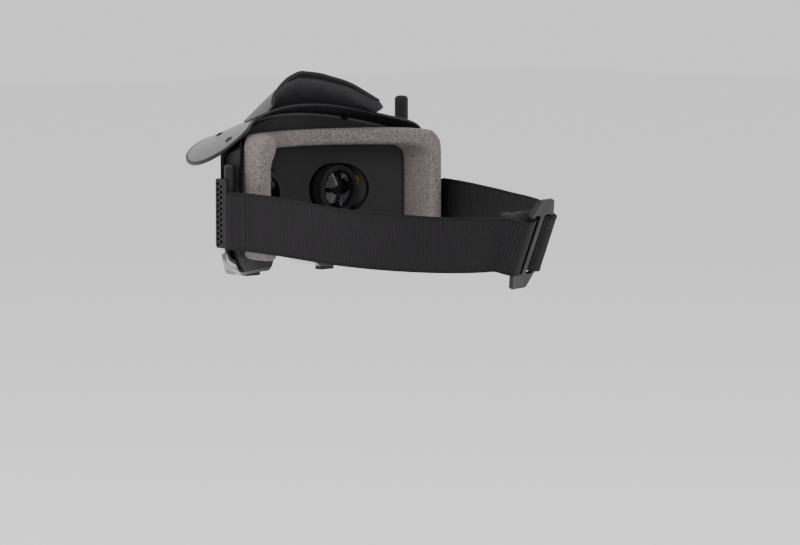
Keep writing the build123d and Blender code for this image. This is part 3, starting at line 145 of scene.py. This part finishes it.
world = bpy.data.worlds.new("white studio")
world.use_nodes = True
world.node_tree.nodes["Background"].inputs["Color"].default_value = (1, 1, 1, 1)
world.node_tree.nodes["Background"].inputs["Strength"].default_value = 1.0
bpy.context.scene.world = world
goggles_middle = (0.0, 0.05, 0.0)
soft_box("key_box", (1.3, 1.3, 1.5), goggles_middle, 1.2, 30)
soft_box("rim_box", (1.5, -0.7, 1.1), goggles_middle, 0.9, 18)
soft_box("fill_box", (-1.4, 1.2, 0.8), goggles_middle, 1.4, 9)

view_azimuth, view_elevation, view_distance = math.radians(138.0), math.radians(5.8), 2.0
level = math.cos(view_elevation)
toward_camera = Vector(
    (math.sin(view_azimuth) * level, -math.cos(view_azimuth) * level, math.sin(view_elevation))
)
camera_data = bpy.data.cameras.new("camera")
camera_data.lens = 145.8
camera_data.sensor_width = 36.0
camera = bpy.data.objects.new("camera", camera_data)
camera.location = Vector((0.005, 0.0925, -0.0443)) + toward_camera * view_distance
camera.rotation_euler = (-toward_camera).to_track_quat("-Z", "Y").to_euler()
bpy.context.collection.objects.link(camera)
bpy.context.scene.camera = camera


# ---- Front shell: injection-moulded ABS, printed with a splinter camouflage and lacquered satin ----
# Straight-edged patches of four greys in two sizes lie over a fine grain; the inside is bare black.
def dress(material, *names):
    """Give CAD nodes their finished material."""
    for name in names:
        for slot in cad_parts[name].material_slots:
            slot.material = material


def splinters(tree, turn, stretch, size):
    """Angular patches: three random values per cell of a squeezed and turned pattern."""
    place = add_node(tree, "ShaderNodeTexCoord").outputs["Object"]
    turned = add_node(tree, "ShaderNodeMapping", {"Vector": place, "Rotation": turn, "Scale": stretch})
    cells = add_node(tree, "ShaderNodeTexVoronoi", {"Vector": turned.outputs["Vector"], "Scale": 1 / size})
    return add_node(tree, "ShaderNodeSeparateColor", {"Color": cells.outputs["Color"]}).outputs


def over(tree, mask, below, above):
    """One colour laid over another where the mask is white."""
    mixed = add_node(tree, "ShaderNodeMix", {"Factor": mask}, data_type="RGBA")
    tree.links.new(below, mixed.inputs[6])
    tree.links.new(above, mixed.inputs[7])
    return mixed.outputs[2]


def outer_side(tree):
    """White where a face looks away from the middle of the goggles, black inside the moulding."""
    place = add_node(tree, "ShaderNodeTexCoord")
    middle = (0, 0.03, 0)
    apart = {0: place.outputs["Object"], 1: middle}
    from_middle = add_node(tree, "ShaderNodeVectorMath", apart, operation="SUBTRACT").outputs["Vector"]
    against = {0: from_middle, 1: place.outputs["Normal"]}
    facing = add_node(tree, "ShaderNodeVectorMath", against, operation="DOT_PRODUCT").outputs["Value"]
    return add_node(tree, "ShaderNodeMath", {0: facing, 1: 0.0}, operation="GREATER_THAN").outputs["Value"]


camouflage, tree, shader = new_material("satin camouflage ABS", 0.42, Coat_Weight=0.3, Coat_Roughness=0.25)
large = splinters(tree, (0.35, 0.6, 0.5), (1.0, 1.0, 2.3), 0.030)
small = splinters(tree, (-0.5, 0.2, -0.7), (2.4, 1.2, 1.0), 0.026)
four_greys = [(0.0, "#111013"), (0.34, "#332e36"), (0.62, "#6b6769"), (0.82, "#c4c1bf")]
patches = ramp(tree, large["Red"], four_greys, "CONSTANT")
slivers = ramp(tree, small["Green"], [(0.0, "#151417"), (0.55, "#8b8789")], "CONSTANT")
sliver_mask = ramp(tree, small["Blue"], [(0.0, "#000000"), (0.72, "#ffffff")], "CONSTANT")
printed = over(tree, sliver_mask, patches, slivers)
bare_black = ramp(tree, grain(tree, 0.016), [(0.35, "#121213"), (0.65, "#1a1a1b")])
colour_by(tree, shader, over(tree, outer_side(tree), bare_black, printed))
bump(tree, shader, grain(tree, 0.0007), 0.15, 0.0002)
dress(camouflage, "front_shell")


# ---- Circuit boards, receiver can and processor: solder mask over copper, tinned steel lids ----
# The mask shows paler tracks; the lids are rolled sheet with a dull, cloudy tin.
def metal(name, roughness, dark, bright, streak=0.0018):
    """Bare or plated metal, cloudy, with brighter worn places."""
    material, tree, shader = new_material(name, roughness, Metallic=1.0)
    colour_by(tree, shader, ramp(tree, grain(tree, streak, 4.0), [(0.42, dark), (0.72, bright)]))
    bump(tree, shader, grain(tree, 0.0004), 0.15, 0.0001)
    return material


solder_mask, tree, shader = new_material("green solder mask", 0.35, Coat_Weight=0.3)
place = add_node(tree, "ShaderNodeTexCoord").outputs["Object"]
tracks = add_node(tree, "ShaderNodeTexVoronoi", {"Vector": place, "Scale": 1 / 0.0024}, distance="MANHATTAN")
colour_by(tree, shader, ramp(tree, tracks.outputs["Distance"], [(0.35, "#0b3322"), (0.45, "#19603b")]))
dress(solder_mask, "main_board", "switch_board")
dress(metal("tinned steel lid", 0.35, "#96979a", "#c9c9cb"), "receiver_module", "processor")
blackened_steel = metal("blackened steel", 0.38, "#1c1c1e", "#4c4c4e")
dress(blackened_steel, "board_screws")


# ---- Eye frame, fan, grille and eyepieces: black ABS with a spark-eroded grain ----
# The grain scatters light softly; handling has polished it in patches.
def moulded(name, colour, roughness, pitch=0.0006, strength=0.25):
    """Moulded plastic or rubber with a fine grain and an uneven sheen."""
    material, tree, shader = new_material(name, roughness, Specular_IOR_Level=0.3)
    broad = grain(tree, 0.016, 3.0)
    darker = "#" + "".join(f"{int(int(colour[i : i + 2], 16) * 0.78):02x}" for i in (1, 3, 5))
    colour_by(tree, shader, ramp(tree, broad, [(0.35, darker), (0.65, colour)]))
    smoothest, roughest = roughness - 0.07, roughness + 0.1
    sheen = {"Value": broad, "From Min": 0.3, "From Max": 0.7, "To Min": smoothest, "To Max": roughest}
    tree.links.new(add_node(tree, "ShaderNodeMapRange", sheen).outputs["Result"], shader.inputs["Roughness"])
    bump(tree, shader, grain(tree, pitch), strength, 0.0002)
    return material


dress(moulded("grained black ABS", "#131315", 0.5), "eye_frame", "fan_frame", "fan_rotor", "vent_grille")
dress(moulded("smooth black ABS", "#111113", 0.36), "eyepiece_left", "eyepiece_right")
dress(metal("ground steel rod", 0.25, "#a9a9ab", "#d2d2d3"), "ipd_rails")


# ---- Lenses and microdisplays: coated acrylic in front of dark glass ----
# The coating gives the lens a faint violet tint; the display is almost black when it is off.
coated_acrylic, tree, shader = new_material("coated acrylic lens", 0.04, Transmission_Weight=1.0, IOR=1.49)
colour_by(tree, shader, ramp(tree, grain(tree, 0.02, 2.0), [(0.3, "#d3d5ea"), (0.7, "#e2e4f0")]))
dress(coated_acrylic, "lens_left", "lens_right")
display_glass, tree, shader = new_material("microdisplay glass", 0.12)
colour_by(tree, shader, ramp(tree, grain(tree, 0.005, 2.0), [(0.3, "#07090f"), (0.7, "#10141f")]))
dress(display_glass, "display_left", "display_right")
ribbed_rubber = moulded("matt black silicone rubber", "#121214", 0.7, 0.0009, 0.35)
dress(ribbed_rubber, "focus_ring_left", "focus_ring_right", "nose_flap")


# ---- Sun hood: glossy grey PETG sheet, formed over a curved tool, with a soft dark bead on its edge ----
# The gloss shows shallow draw waves and hairline wipe marks; the bead is black PVC pressed over the cut.
def finish_with(piece, *modifiers):
    """Add modifiers to a piece in order, each a kind with its settings, and apply each one."""
    bpy.ops.object.select_all(action="DESELECT")
    bpy.context.view_layer.objects.active = piece
    piece.select_set(True)
    for kind, settings in modifiers:
        modifier = piece.modifiers.new(kind.lower(), kind)
        for name, value in settings.items():
            setattr(modifier, name, value)
        bpy.ops.object.modifier_apply(modifier=modifier.name)


hood_radius, hood_slope, hood_axis_point = 0.130, math.radians(17.7), Vector((0, 0.05152, -0.06285))
hood_axis = Vector((0, math.cos(hood_slope), math.sin(hood_slope)))


def from_hood_axis(point):
    """The vector from the axis of the hood's cylinder straight out to a point."""
    offset = point - hood_axis_point
    return offset - hood_axis * offset.dot(hood_axis)


def hood_outline():
    """The closed edge of the hood's upper face, as points in order, read from the CAD node."""
    mesh = bmesh.new()
    mesh.from_mesh(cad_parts["sun_hood"].data)
    bmesh.ops.remove_doubles(mesh, verts=mesh.verts, dist=1e-5)

    def on_top(face):
        return all(from_hood_axis(v.co).length > hood_radius - 1e-4 for v in face.verts)

    pairs = [(e, e.link_faces) for e in mesh.edges if len(e.link_faces) == 2]
    rim = [e for e, (one, other) in pairs if on_top(one) != on_top(other)]
    longest = []
    left = set(rim)
    while left:
        edge = left.pop()
        path = [edge.verts[0], edge.verts[1]]
        while True:
            ahead = [e for e in path[-1].link_edges if e in left]
            if not ahead:
                break
            left.discard(ahead[0])
            path.append(ahead[0].other_vert(path[-1]))
        if len(path) > len(longest):
            longest = path
    half_sheet = 0.0008
    inward = [v.co - from_hood_axis(v.co).normalized() * half_sheet for v in longest]
    mesh.free()
    return inward


def evenly(path, pitch):
    """Points spaced evenly along a closed path."""
    lengths = np.cumsum([0.0] + [(b - a).length for a, b in zip(path, path[1:])])
    places = np.linspace(0, lengths[-1], round(lengths[-1] / pitch), endpoint=False)
    columns = [np.interp(places, lengths, [p[i] for p in path]) for i in range(3)]
    return [Vector(p) for p in zip(*columns)]


def bead(name, points, radius, material, closed):
    """A round bead through points, drawn as a bevelled curve and made a mesh."""
    curve = bpy.data.curves.new(name, "CURVE")
    curve.dimensions = "3D"
    curve.bevel_depth = radius
    curve.bevel_resolution = 2
    curve.use_fill_caps = not closed
    spline = curve.splines.new("POLY")
    spline.points.add(len(points) - 1)
    for spot, point in zip(spline.points, points):
        spot.co = (*point, 1.0)
    spline.use_cyclic_u = closed
    piece = bpy.data.objects.new(name, curve)
    bpy.context.collection.objects.link(piece)
    bpy.ops.object.select_all(action="DESELECT")
    bpy.context.view_layer.objects.active = piece
    piece.select_set(True)
    bpy.ops.object.convert(target="MESH")
    piece = bpy.context.object
    piece.data.materials.append(material)
    bpy.ops.object.shade_smooth()
    return piece


gloss = {"Specular_IOR_Level": 0.35, "Coat_Weight": 0.25, "Coat_Roughness": 0.2}
glossy_sheet, tree, shader = new_material("glossy grey PETG sheet", 0.3, **gloss)
place = add_node(tree, "ShaderNodeTexCoord").outputs["Object"]
drawn = add_node(tree, "ShaderNodeMapping", {"Vector": place, "Scale": (1.0, 0.12, 0.4)})
wipe_marks = add_node(tree, "ShaderNodeTexNoise", {"Vector": drawn.outputs["Vector"], "Scale": 1 / 0.0005})
colour_by(tree, shader, ramp(tree, grain(tree, 0.03, 2.0), [(0.3, "#29292e"), (0.7, "#313137")]))
marks = {"Value": wipe_marks.outputs["Fac"], "To Min": 0.24, "To Max": 0.42}
tree.links.new(add_node(tree, "ShaderNodeMapRange", marks).outputs["Result"], shader.inputs["Roughness"])
bump(tree, shader, grain(tree, 0.014, 2.0), 0.06, 0.001)
dress(glossy_sheet, "sun_hood")
edge_pvc = moulded("black PVC edge bead", "#141416", 0.45)
hood_bead = bead("hood_edge_bead", evenly(hood_outline(), 0.0022), 0.0012, edge_pvc, True)
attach(hood_bead, "housing")
dress(blackened_steel, "hood_rivets", "hood_studs")


# ---- Forehead flap: a fan of grained leatherette rolled into a cone, glued to the hood ----
# Its free edge is bound with a folded strip, and the sheet shows soft waves towards that edge.
flap_axis_y, flap_cone_sum, flap_thickness = 0.024, 0.102, 0.0013
flap_top_y, flap_top_z, flap_drop = -0.002, 0.076, math.radians(43.0)


def flap_point(turn, height):
    """A point of the cone, turn radians round from the front."""
    radius = flap_cone_sum - height
    return Vector((radius * math.sin(turn), flap_axis_y - radius * math.cos(turn), height))


def above_hood(point):
    """How far a point stands above the hood's upper face, less a hair's gap."""
    return from_hood_axis(point).length - hood_radius - 0.0002


def flap_limits(turn):
    """The heights at which a line of the cone leaves the hood and meets the free edge."""
    low, high = 0.02, 0.0759
    for _ in range(40):
        middle = (low + high) / 2
        if above_hood(flap_point(turn, middle)) < 0:
            low = middle
        else:
            high = middle
    foot = low
    low, high = 0.0, 0.0759
    for _ in range(40):
        middle = (low + high) / 2
        point = flap_point(turn, middle)
        if (point.y - flap_top_y) * math.sin(flap_drop) + (point.z - flap_top_z) * math.cos(flap_drop) < 0:
            low = middle
        else:
            high = middle
    return foot, low


flap_turn = 0.0
while flap_turn < 2.2:
    foot, edge = flap_limits(flap_turn + 0.01)
    if edge - foot < 0.004:
        break
    flap_turn += 0.01


def on_flap(u, v):
    """A point of the flap, u round it and v up it, with soft waves near the free edge."""
    turn = (2 * u - 1) * flap_turn
    foot, edge = flap_limits(turn)
    point = flap_point(turn, foot + (edge - foot) * v)
    out = Vector((math.sin(turn), -math.cos(turn), 1.0)).normalized()
    wave = math.sin(turn * 5.0 + 0.7) * 0.0005 + math.sin(turn * 11.0) * 0.00022
    return point + out * (wave * v * v), out


def flat_flap(u, v):
    """The same point with the cone unrolled flat."""
    turn = (2 * u - 1) * flap_turn
    foot, edge = flap_limits(turn)
    slant = (flap_cone_sum - foot - (edge - foot) * v) * math.sqrt(2)
    return slant * math.sin(turn / math.sqrt(2)), slant * math.cos(turn / math.sqrt(2))


def placed_grid(name, columns, rows, place, unroll, material):
    """A grid primitive with its points set by place(u, v) and its UV map, in metres, by unroll(u, v)."""
    bpy.ops.object.select_all(action="DESELECT")
    bpy.ops.mesh.primitive_grid_add(x_subdivisions=columns, y_subdivisions=rows, size=1, calc_uvs=True)
    piece = bpy.context.object
    piece.name = name
    mesh = piece.data
    spots = [(v.co.x + 0.5, v.co.y + 0.5) for v in mesh.vertices]
    flat = [unroll(u, v) for u, v in spots]
    for loop, corner in zip(mesh.loops, mesh.uv_layers[0].data):
        corner.uv = flat[loop.vertex_index]
    for vertex, (u, v) in zip(mesh.vertices, spots):
        vertex.co = place(u, v)
    mesh.materials.append(material)
    return piece


def leather_grain(name, dark, light):
    """Matt grained leatherette: pebbles about 1.3 mm across with fine creases between them."""
    material, tree, shader = new_material(name, 0.6, Sheen_Weight=0.1)
    place = add_node(tree, "ShaderNodeTexCoord").outputs["Object"]
    cells = {"Vector": place, "Scale": 1 / 0.0013}
    pebbles = add_node(tree, "ShaderNodeTexVoronoi", cells).outputs["Distance"]
    colour_by(tree, shader, ramp(tree, grain(tree, 0.012, 3.0), [(0.3, dark), (0.7, light)]))
    bump(tree, shader, pebbles, 0.5, 0.0004)
    return material


flap_columns, flap_rows = 120, 14
flap = placed_grid(
    "forehead_flap_sheet",
    flap_columns,
    flap_rows,
    lambda u, v: on_flap(u, v)[0],
    flat_flap,
    leather_grain("grey grained leatherette", "#303034", "#3a3a3f"),
)
flat_points = [corner.uv.copy() for corner in flap.data.uv_layers[0].data]
rounding = {"width": 0.0004, "segments": 2, "limit_method": "ANGLE"}
finish_with(flap, ("SOLIDIFY", {"thickness": flap_thickness, "offset": 0.0}), ("BEVEL", rounding))
bpy.ops.object.shade_smooth_by_angle(angle=math.radians(40))
binding = placed_grid(
    "flap_edge_binding",
    flap_columns,
    4,
    lambda u, v: on_flap(u, 0.9 + 0.105 * v)[0],
    lambda u, v: (u * 0.2, v * 0.004),
    moulded("black binding tape", "#121214", 0.65, 0.0008, 0.5),
)
folded = {"thickness": 0.0023, "offset": 0.0}
finish_with(binding, ("SOLIDIFY", folded), ("BEVEL", {**rounding, "width": 0.0007}))
bpy.ops.object.shade_smooth_by_angle(angle=math.radians(40))
for piece in (flap, binding):
    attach(piece, "housing")
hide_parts("forehead_flap")


# ---- Face pad and its fastener: taupe polyurethane foam on dense hook tape ----
# The foam is die cut about 15 mm thick; a short cloth simulation rounds it and crowns its faces.
hook_tape, tree, shader = new_material("nylon hook tape", 0.8)
place = add_node(tree, "ShaderNodeTexCoord").outputs["Object"]
hooks = add_node(tree, "ShaderNodeTexVoronoi", {"Vector": place, "Scale": 1 / 0.0012}).outputs["Distance"]
# The hook heads are painted lighter and the gaps between them darker: painted highlight and painted shade.
colour_by(tree, shader, ramp(tree, hooks, [(0.1, "#29292c"), (0.6, "#0e0e10")]))
bump(tree, shader, hooks, 0.6, 0.0005)
dress(hook_tape, "pad_fastener")


def copied_node(node, name, material):
    """A separate piece with the merged mesh of a CAD node."""
    piece = bpy.data.objects.new(name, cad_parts[node].data.copy())
    bpy.context.collection.objects.link(piece)
    piece.data.materials.clear()
    piece.data.materials.append(material)
    mesh = bmesh.new()
    mesh.from_mesh(piece.data)
    bmesh.ops.remove_doubles(mesh, verts=mesh.verts, dist=1e-5)
    mesh.to_mesh(piece.data)
    mesh.free()
    for face in piece.data.polygons:
        face.material_index = 0
    return piece


def swelled(piece, voxel, pressure, most):
    """Remesh a closed piece, blow it up gently as cloth and let no point move further than most."""
    remesh = {"mode": "VOXEL", "voxel_size": voxel}
    shrunk = {"mid_level": 0.0, "strength": -0.001}
    finish_with(piece, ("REMESH", remesh), ("SMOOTH", {"iterations": 5}), ("DISPLACE", shrunk))
    rest = np.array([v.co for v in piece.data.vertices])
    cloth = piece.modifiers.new("cloth", "CLOTH")
    cloth.settings.use_pressure = True
    cloth.settings.uniform_pressure_force = pressure
    cloth.settings.effector_weights.gravity = 0
    cloth.settings.tension_stiffness = 25
    cloth.settings.bending_stiffness = 6
    for number in range(1, 21):
        bpy.context.scene.frame_set(number)
    bpy.ops.object.modifier_apply(modifier=cloth.name)
    bpy.context.scene.frame_set(1)
    moved = np.array([v.co for v in piece.data.vertices]) - rest
    length = np.maximum(np.linalg.norm(moved, axis=1, keepdims=True), 1e-9)
    moved *= np.minimum(1.0, most / length)
    for vertex, spot in zip(piece.data.vertices, rest + moved):
        vertex.co = spot
    finish_with(piece, ("SUBSURF", {"levels": 1, "render_levels": 1}))
    bpy.ops.object.shade_smooth()


foam, tree, shader = new_material("taupe polyurethane foam", 0.95, Specular_IOR_Level=0.2)
place = add_node(tree, "ShaderNodeTexCoord").outputs["Object"]
open_cells = add_node(tree, "ShaderNodeTexVoronoi", {"Vector": place, "Scale": 1 / 0.001}).outputs["Distance"]
fleck = grain(tree, 0.0016, 5.0, 0.75)
skin = ramp(tree, fleck, [(0.3, "#716a68"), (0.7, "#8a827f")])
# The foam's open-cell pits are painted darker than its face: painted shade in the pits.
painted_pit_shade_mask = ramp(tree, open_cells, [(0.1, "#000000"), (0.75, "#ffffff")])
colour_by(tree, shader, over(tree, painted_pit_shade_mask, skin, ramp(tree, fleck, [(0.3, "#463f3f"), (0.7, "#6e6565")])))
height = add_node(tree, "ShaderNodeMath", {0: open_cells, 1: fleck}, operation="SUBTRACT")
bump(tree, shader, height.outputs["Value"], 0.6, 0.0008)
face_foam = copied_node("face_pad", "face_foam", foam)
swelled(face_foam, 0.0033, 4.0, 0.0022)
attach(face_foam, "housing")
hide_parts("face_pad")


# ---- Strap arms: black glass-filled nylon with a perforated plate, on ground steel pins ----
# The moulding is satin from its glass fibre, and the holes stay dark.
nylon = moulded("satin black glass-filled nylon", "#101012", 0.42, 0.0007, 0.2)
dress(nylon, "outrigger_left", "outrigger_right")
dress(bpy.data.materials["ground steel rod"], "hinge_pin_left", "hinge_pin_right", "antenna_pin")


# ---- Head strap: black ribbed elastic webbing, 35 mm wide, woven with a thin selvedge on each edge ----
# It leaves the arms flat, rounds the head, and passes over, under and over the bars of the buckle.
strap_width, strap_thickness = 0.035, 0.0015
anchor = (0.0884, 0.0269)
half_width, half_length, middle_y = 0.0765, 0.0925, 0.090
front_height, rear_height, rear_tilt = -0.0115, -0.0205, math.radians(23.0)
p, q = anchor[0] / half_width, (anchor[1] - middle_y) / half_length
touch_angle = math.acos(1 / math.hypot(p, q)) + math.atan2(q, p)


def left_frame(step):
    """Inner face, outward and upward directions on the left: step 0 at the arm, 1 on the head, 2 behind."""
    touch = (half_width * math.cos(touch_angle), middle_y + half_length * math.sin(touch_angle))
    if step <= 1:
        x, y = (a + (b - a) * step for a, b in zip(anchor, touch))
        tangent = Vector((touch[0] - anchor[0], touch[1] - anchor[1], 0)).normalized()
    else:
        angle = touch_angle + (math.pi / 2 - touch_angle) * (step - 1)
        x, y = half_width * math.cos(angle), middle_y + half_length * math.sin(angle)
        tangent = Vector((-half_width * math.sin(angle), half_length * math.cos(angle), 0)).normalized()
    level_out = Vector((tangent.y, -tangent.x, 0))
    ease = (step / 2) ** 2 * (3 - step)
    tilt = rear_tilt * max(0.0, step - 0.6) / 1.4
    up = Vector((0, 0, 1)) * math.cos(tilt) + level_out * math.sin(tilt)
    out = level_out * math.cos(tilt) - Vector((0, 0, 1)) * math.sin(tilt)
    return Vector((x, y, front_height + (rear_height - front_height) * ease)), out, up


step_count = 400
stations = [2 * i / step_count for i in range(step_count + 1)]
route = [left_frame(s)[0] for s in stations]
travelled = np.cumsum([0.0] + [(b - a).xy.length for a, b in zip(route, route[1:])])
half_run = float(travelled[-1])
full_run = 2 * half_run


def strap_frame(distance):
    """The same three for a distance along the whole strap, from the left arm to the right one."""
    from_near_end = min(distance, full_run - distance)
    base, out, up = left_frame(float(np.interp(from_near_end, travelled, stations)))
    side = 1 if distance <= half_run else -1
    return [Vector((side * v.x, v.y, v.z)) for v in (base, out, up)]


# Lift of the strap's inner face above its line on the head, by the distance from the buckle's middle.
buckle_at = half_run + 0.018
weave = [(0.0, 1.63), (2.9, 1.74), (9.6, 6.85), (13.5, 7.6), (25.0, 0.0)]


def weave_lift(distance):
    """How far the strap stands off its line where it goes through the buckle."""
    away = abs(distance - buckle_at) * 1000
    for (a, low), (b, high) in zip(weave, weave[1:]):
        if away <= b:
            t = (away - a) / (b - a)
            return (low + (high - low) * t * t * (3 - 2 * t)) / 1000
    return 0.0


webbing, tree, shader = new_material("black ribbed elastic webbing", 0.7, Specular_IOR_Level=0.22)
along = add_node(tree, "ShaderNodeUVMap").outputs["UV"]
axes = add_node(tree, "ShaderNodeSeparateXYZ", {"Vector": along}).outputs
slow = {"Vector": along, "Scale": 1 / 0.009, "Detail": 2.0}
wander = add_node(tree, "ShaderNodeTexNoise", slow).outputs["Fac"]
wavy = add_node(tree, "ShaderNodeMath", {0: wander, 1: 0.0011, 2: axes["X"]}, operation="MULTIPLY_ADD")
# The real ribs are 1.0 mm apart; they are drawn 1.5 mm apart so that they show.
rib_pitch = 0.0015
ribs = {0: wavy.outputs["Value"], 1: 2 * math.pi / rib_pitch}
turns = add_node(tree, "ShaderNodeMath", ribs, operation="MULTIPLY")
rib = add_node(tree, "ShaderNodeMath", {0: turns.outputs["Value"]}, operation="SINE").outputs["Value"]
threads = {"Vector": along, "Scale": 1 / 0.0009, "Detail": 3.0, "Roughness": 0.7}
yarn = add_node(tree, "ShaderNodeTexNoise", threads).outputs["Fac"]
rough = {0: yarn, 1: 1.3, 2: rib}
ridge = add_node(tree, "ShaderNodeMath", rough, operation="MULTIPLY_ADD").outputs["Value"]
# The webbing is painted lighter on the rib crests and darker in the grooves: painted highlight and painted
# shade on the ribs, with random yarn tone mixed in.
shown = {"Value": ridge, "From Min": -0.5, "From Max": 1.7}
lit = add_node(tree, "ShaderNodeMapRange", shown).outputs["Result"]
rib_light_shade_and_yarn_tone = ramp(tree, lit, [(0.0, "#080708"), (0.5, "#100e10"), (1.0, "#1e1a1e")])
from_middle = add_node(tree, "ShaderNodeMath", {0: axes["Y"]}, operation="ABSOLUTE").outputs["Value"]
at_edge = {"Value": from_middle, "From Min": 0.0157, "From Max": 0.0163}
selvedge = add_node(tree, "ShaderNodeMapRange", at_edge).outputs["Result"]
edge_yarn = ramp(tree, yarn, [(0.3, "#060606"), (0.7, "#0d0c0d")])
colour_by(tree, shader, over(tree, selvedge, rib_light_shade_and_yarn_tone, edge_yarn))
bump(tree, shader, ridge, 0.5, 0.00035)

bead_rows = (-17.5, -17.1, -16.4, -15.8, -12.0, -6.0, 0.0, 6.0, 12.0, 15.8, 16.4, 17.1, 17.5)
bead_rise = (0.0, 0.14, 0.16, 0.0, 0.0, 0.0, 0.0, 0.0, 0.0, 0.0, 0.16, 0.14, 0.0)
corner_round = 3.0


def webbing_piece(name, start, end, tuck=0.0):
    """A length of the strap, round-cornered at an arm; tuck is how far each face is drawn in."""

    def spot(u, v):
        row = round(v * (len(bead_rows) - 1))
        across = bead_rows[row]
        distance = start + (end - start) * u
        over_corner = abs(across) - (strap_width * 500 - corner_round)
        if over_corner > 0:
            inset = (corner_round - math.sqrt(corner_round**2 - over_corner**2)) / 1000
            fade = 1 - min(distance, full_run - distance) / 0.008
            distance += math.copysign(inset * max(0.0, fade), half_run - distance)
        return distance, across / 1000, bead_rise[row] / 1000

    def place(u, v):
        distance, across, rise = spot(u, v)
        base, out, up = strap_frame(distance)
        return base + up * across * narrower + out * (weave_lift(distance) + rise + tuck)

    narrower = 1 - tuck / 0.02
    columns = round((end - start) / 0.0012)
    piece = placed_grid(name, columns, len(bead_rows) - 1, place, lambda u, v: spot(u, v)[:2], webbing)
    thick = {"thickness": strap_thickness - 2 * tuck, "offset": 1.0}
    soft_edge = {"width": 0.0003, "segments": 2, "limit_method": "ANGLE", "angle_limit": math.radians(50)}
    finish_with(piece, ("SOLIDIFY", thick), ("BEVEL", soft_edge))
    bpy.ops.object.shade_smooth_by_angle(angle=math.radians(45))
    return piece


# The front of each side is its own piece, and the part round the head tucks 3 mm into it, slightly slimmer.
arm_reach, head_reach = 0.020, 0.070
left_run = webbing_piece("strap_front_left", 0.0, head_reach)
right_run = webbing_piece("strap_front_right", full_run - head_reach, full_run)
hidden = 0.003
round_head = webbing_piece("strap_round_head", head_reach - hidden, full_run - head_reach + hidden, 0.00003)
for run, side, near, far in (
    (left_run, "left", arm_reach, head_reach),
    (right_run, "right", full_run - arm_reach, full_run - head_reach),
):
    strap_frame(near)[0]
    strap_frame(far)[0]
    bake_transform(run)
    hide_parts("strap_end_" + side)
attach(round_head, "housing")
for node in ("strap_left", "strap_weave", "strap_right"):
    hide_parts(node)


# ---- Stitching: bonded polyester thread that sews the strap's ends to the arms ----
# One short stitch is modelled and copied round a box, sunk a little into the webbing.
thread = moulded("black bonded thread", "#1d1c1e", 0.5, 0.0005, 0.3)
bpy.ops.object.select_all(action="DESELECT")
bpy.ops.mesh.primitive_cylinder_add(vertices=8, radius=0.0003, depth=0.0021)
one_stitch = bpy.context.object
finish_with(one_stitch, ("BEVEL", {"width": 0.0002, "segments": 2, "limit_method": "ANGLE"}))
one_stitch.data.materials.append(thread)


def sewn(name, seams, body):
    """Copies of the stitch at (distance, across, runs up) places, joined into one piece."""
    copies = []
    for distance, across, runs_up in seams:
        base, out, up = strap_frame(distance)
        direction = up if runs_up else out.cross(up)
        stitch = bpy.data.objects.new(name, one_stitch.data.copy())
        bpy.context.collection.objects.link(stitch)
        stitch.rotation_euler = direction.to_track_quat("Z", "Y").to_euler()
        stitch.location = base + up * across + out * (strap_thickness + 0.00005)
        copies.append(stitch)
    bpy.ops.object.select_all(action="DESELECT")
    for stitch in copies:
        stitch.select_set(True)
    bpy.context.view_layer.objects.active = copies[0]
    bpy.ops.object.join()
    bpy.ops.object.transform_apply(location=True, rotation=True, scale=True)
    bpy.ops.object.shade_smooth()
    piece = bpy.context.object
    piece.name = name
    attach(piece, body)


stitch_pitch = 0.0029
box_front, box_rear, box_half = 0.0035, 0.0145, 0.0135
box = []
for k in range(10):
    across = (k - 4.5) * stitch_pitch
    box += [(box_front, across, True), (box_rear, across, True)]
for k in range(4):
    distance = (box_front + box_rear) / 2 + (k - 1.5) * stitch_pitch
    box += [(distance, box_half + 0.0011, False), (distance, -box_half - 0.0011, False)]
sewn("strap_stitching_left", box, "outrigger_left")
sewn("strap_stitching_right", [(full_run - d, a, up) for d, a, up in box], "outrigger_right")
bpy.data.objects.remove(one_stitch)


# ---- Rear buckle and back pad: an acetal slider over a brushed, hook-friendly pad ----
# The slider is smooth and dark with a slight gloss; the pad is brushed loop fabric, rounded a little by a
# short cloth simulation.
dress(moulded("smooth black acetal", "#0d0d0f", 0.4, 0.0009, 0.08), "rear_buckle")
fuzz = {"Sheen_Weight": 0.2, "Sheen_Roughness": 0.6}
loop_fabric, tree, shader = new_material("brushed nylon loop fabric", 0.95, **fuzz)
nap = grain(tree, 0.0011, 6.0, 0.8)
colour_by(tree, shader, ramp(tree, nap, [(0.35, "#0f0d12"), (0.68, "#29242c")]))
bump(tree, shader, nap, 0.8, 0.0009)
nape_pad = copied_node("back_pad", "nape_pad", loop_fabric)
swelled(nape_pad, 0.0012, 4.0, 0.0004)
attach(nape_pad, "housing")
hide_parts("back_pad")


# ---- Controls and sockets on the side walls: grey ABS key, rubber buttons, gold-plated aerial jacks ----
# The key is paler than the wall around it, so that a thumb finds it.
dress(moulded("grey ABS key cap", "#4c4a4e", 0.4, 0.0006, 0.15), "menu_key")
dress(ribbed_rubber, "power_button", "record_button")
dress(moulded("black PBT socket", "#101012", 0.35), "av_jack", "dc_jack")
dress(metal("gold-plated brass", 0.28, "#b28d3a", "#dcbf74"), "aerial_jack", "aerial_jack_free")


# ---- Aerial: nylon collar and elbow with a matt rubber sleeve ----
# The sleeve is dull from its mould release; the collar shares the arms' nylon.
dress(nylon, "antenna_collar")
dress(ribbed_rubber, "antenna_whip")
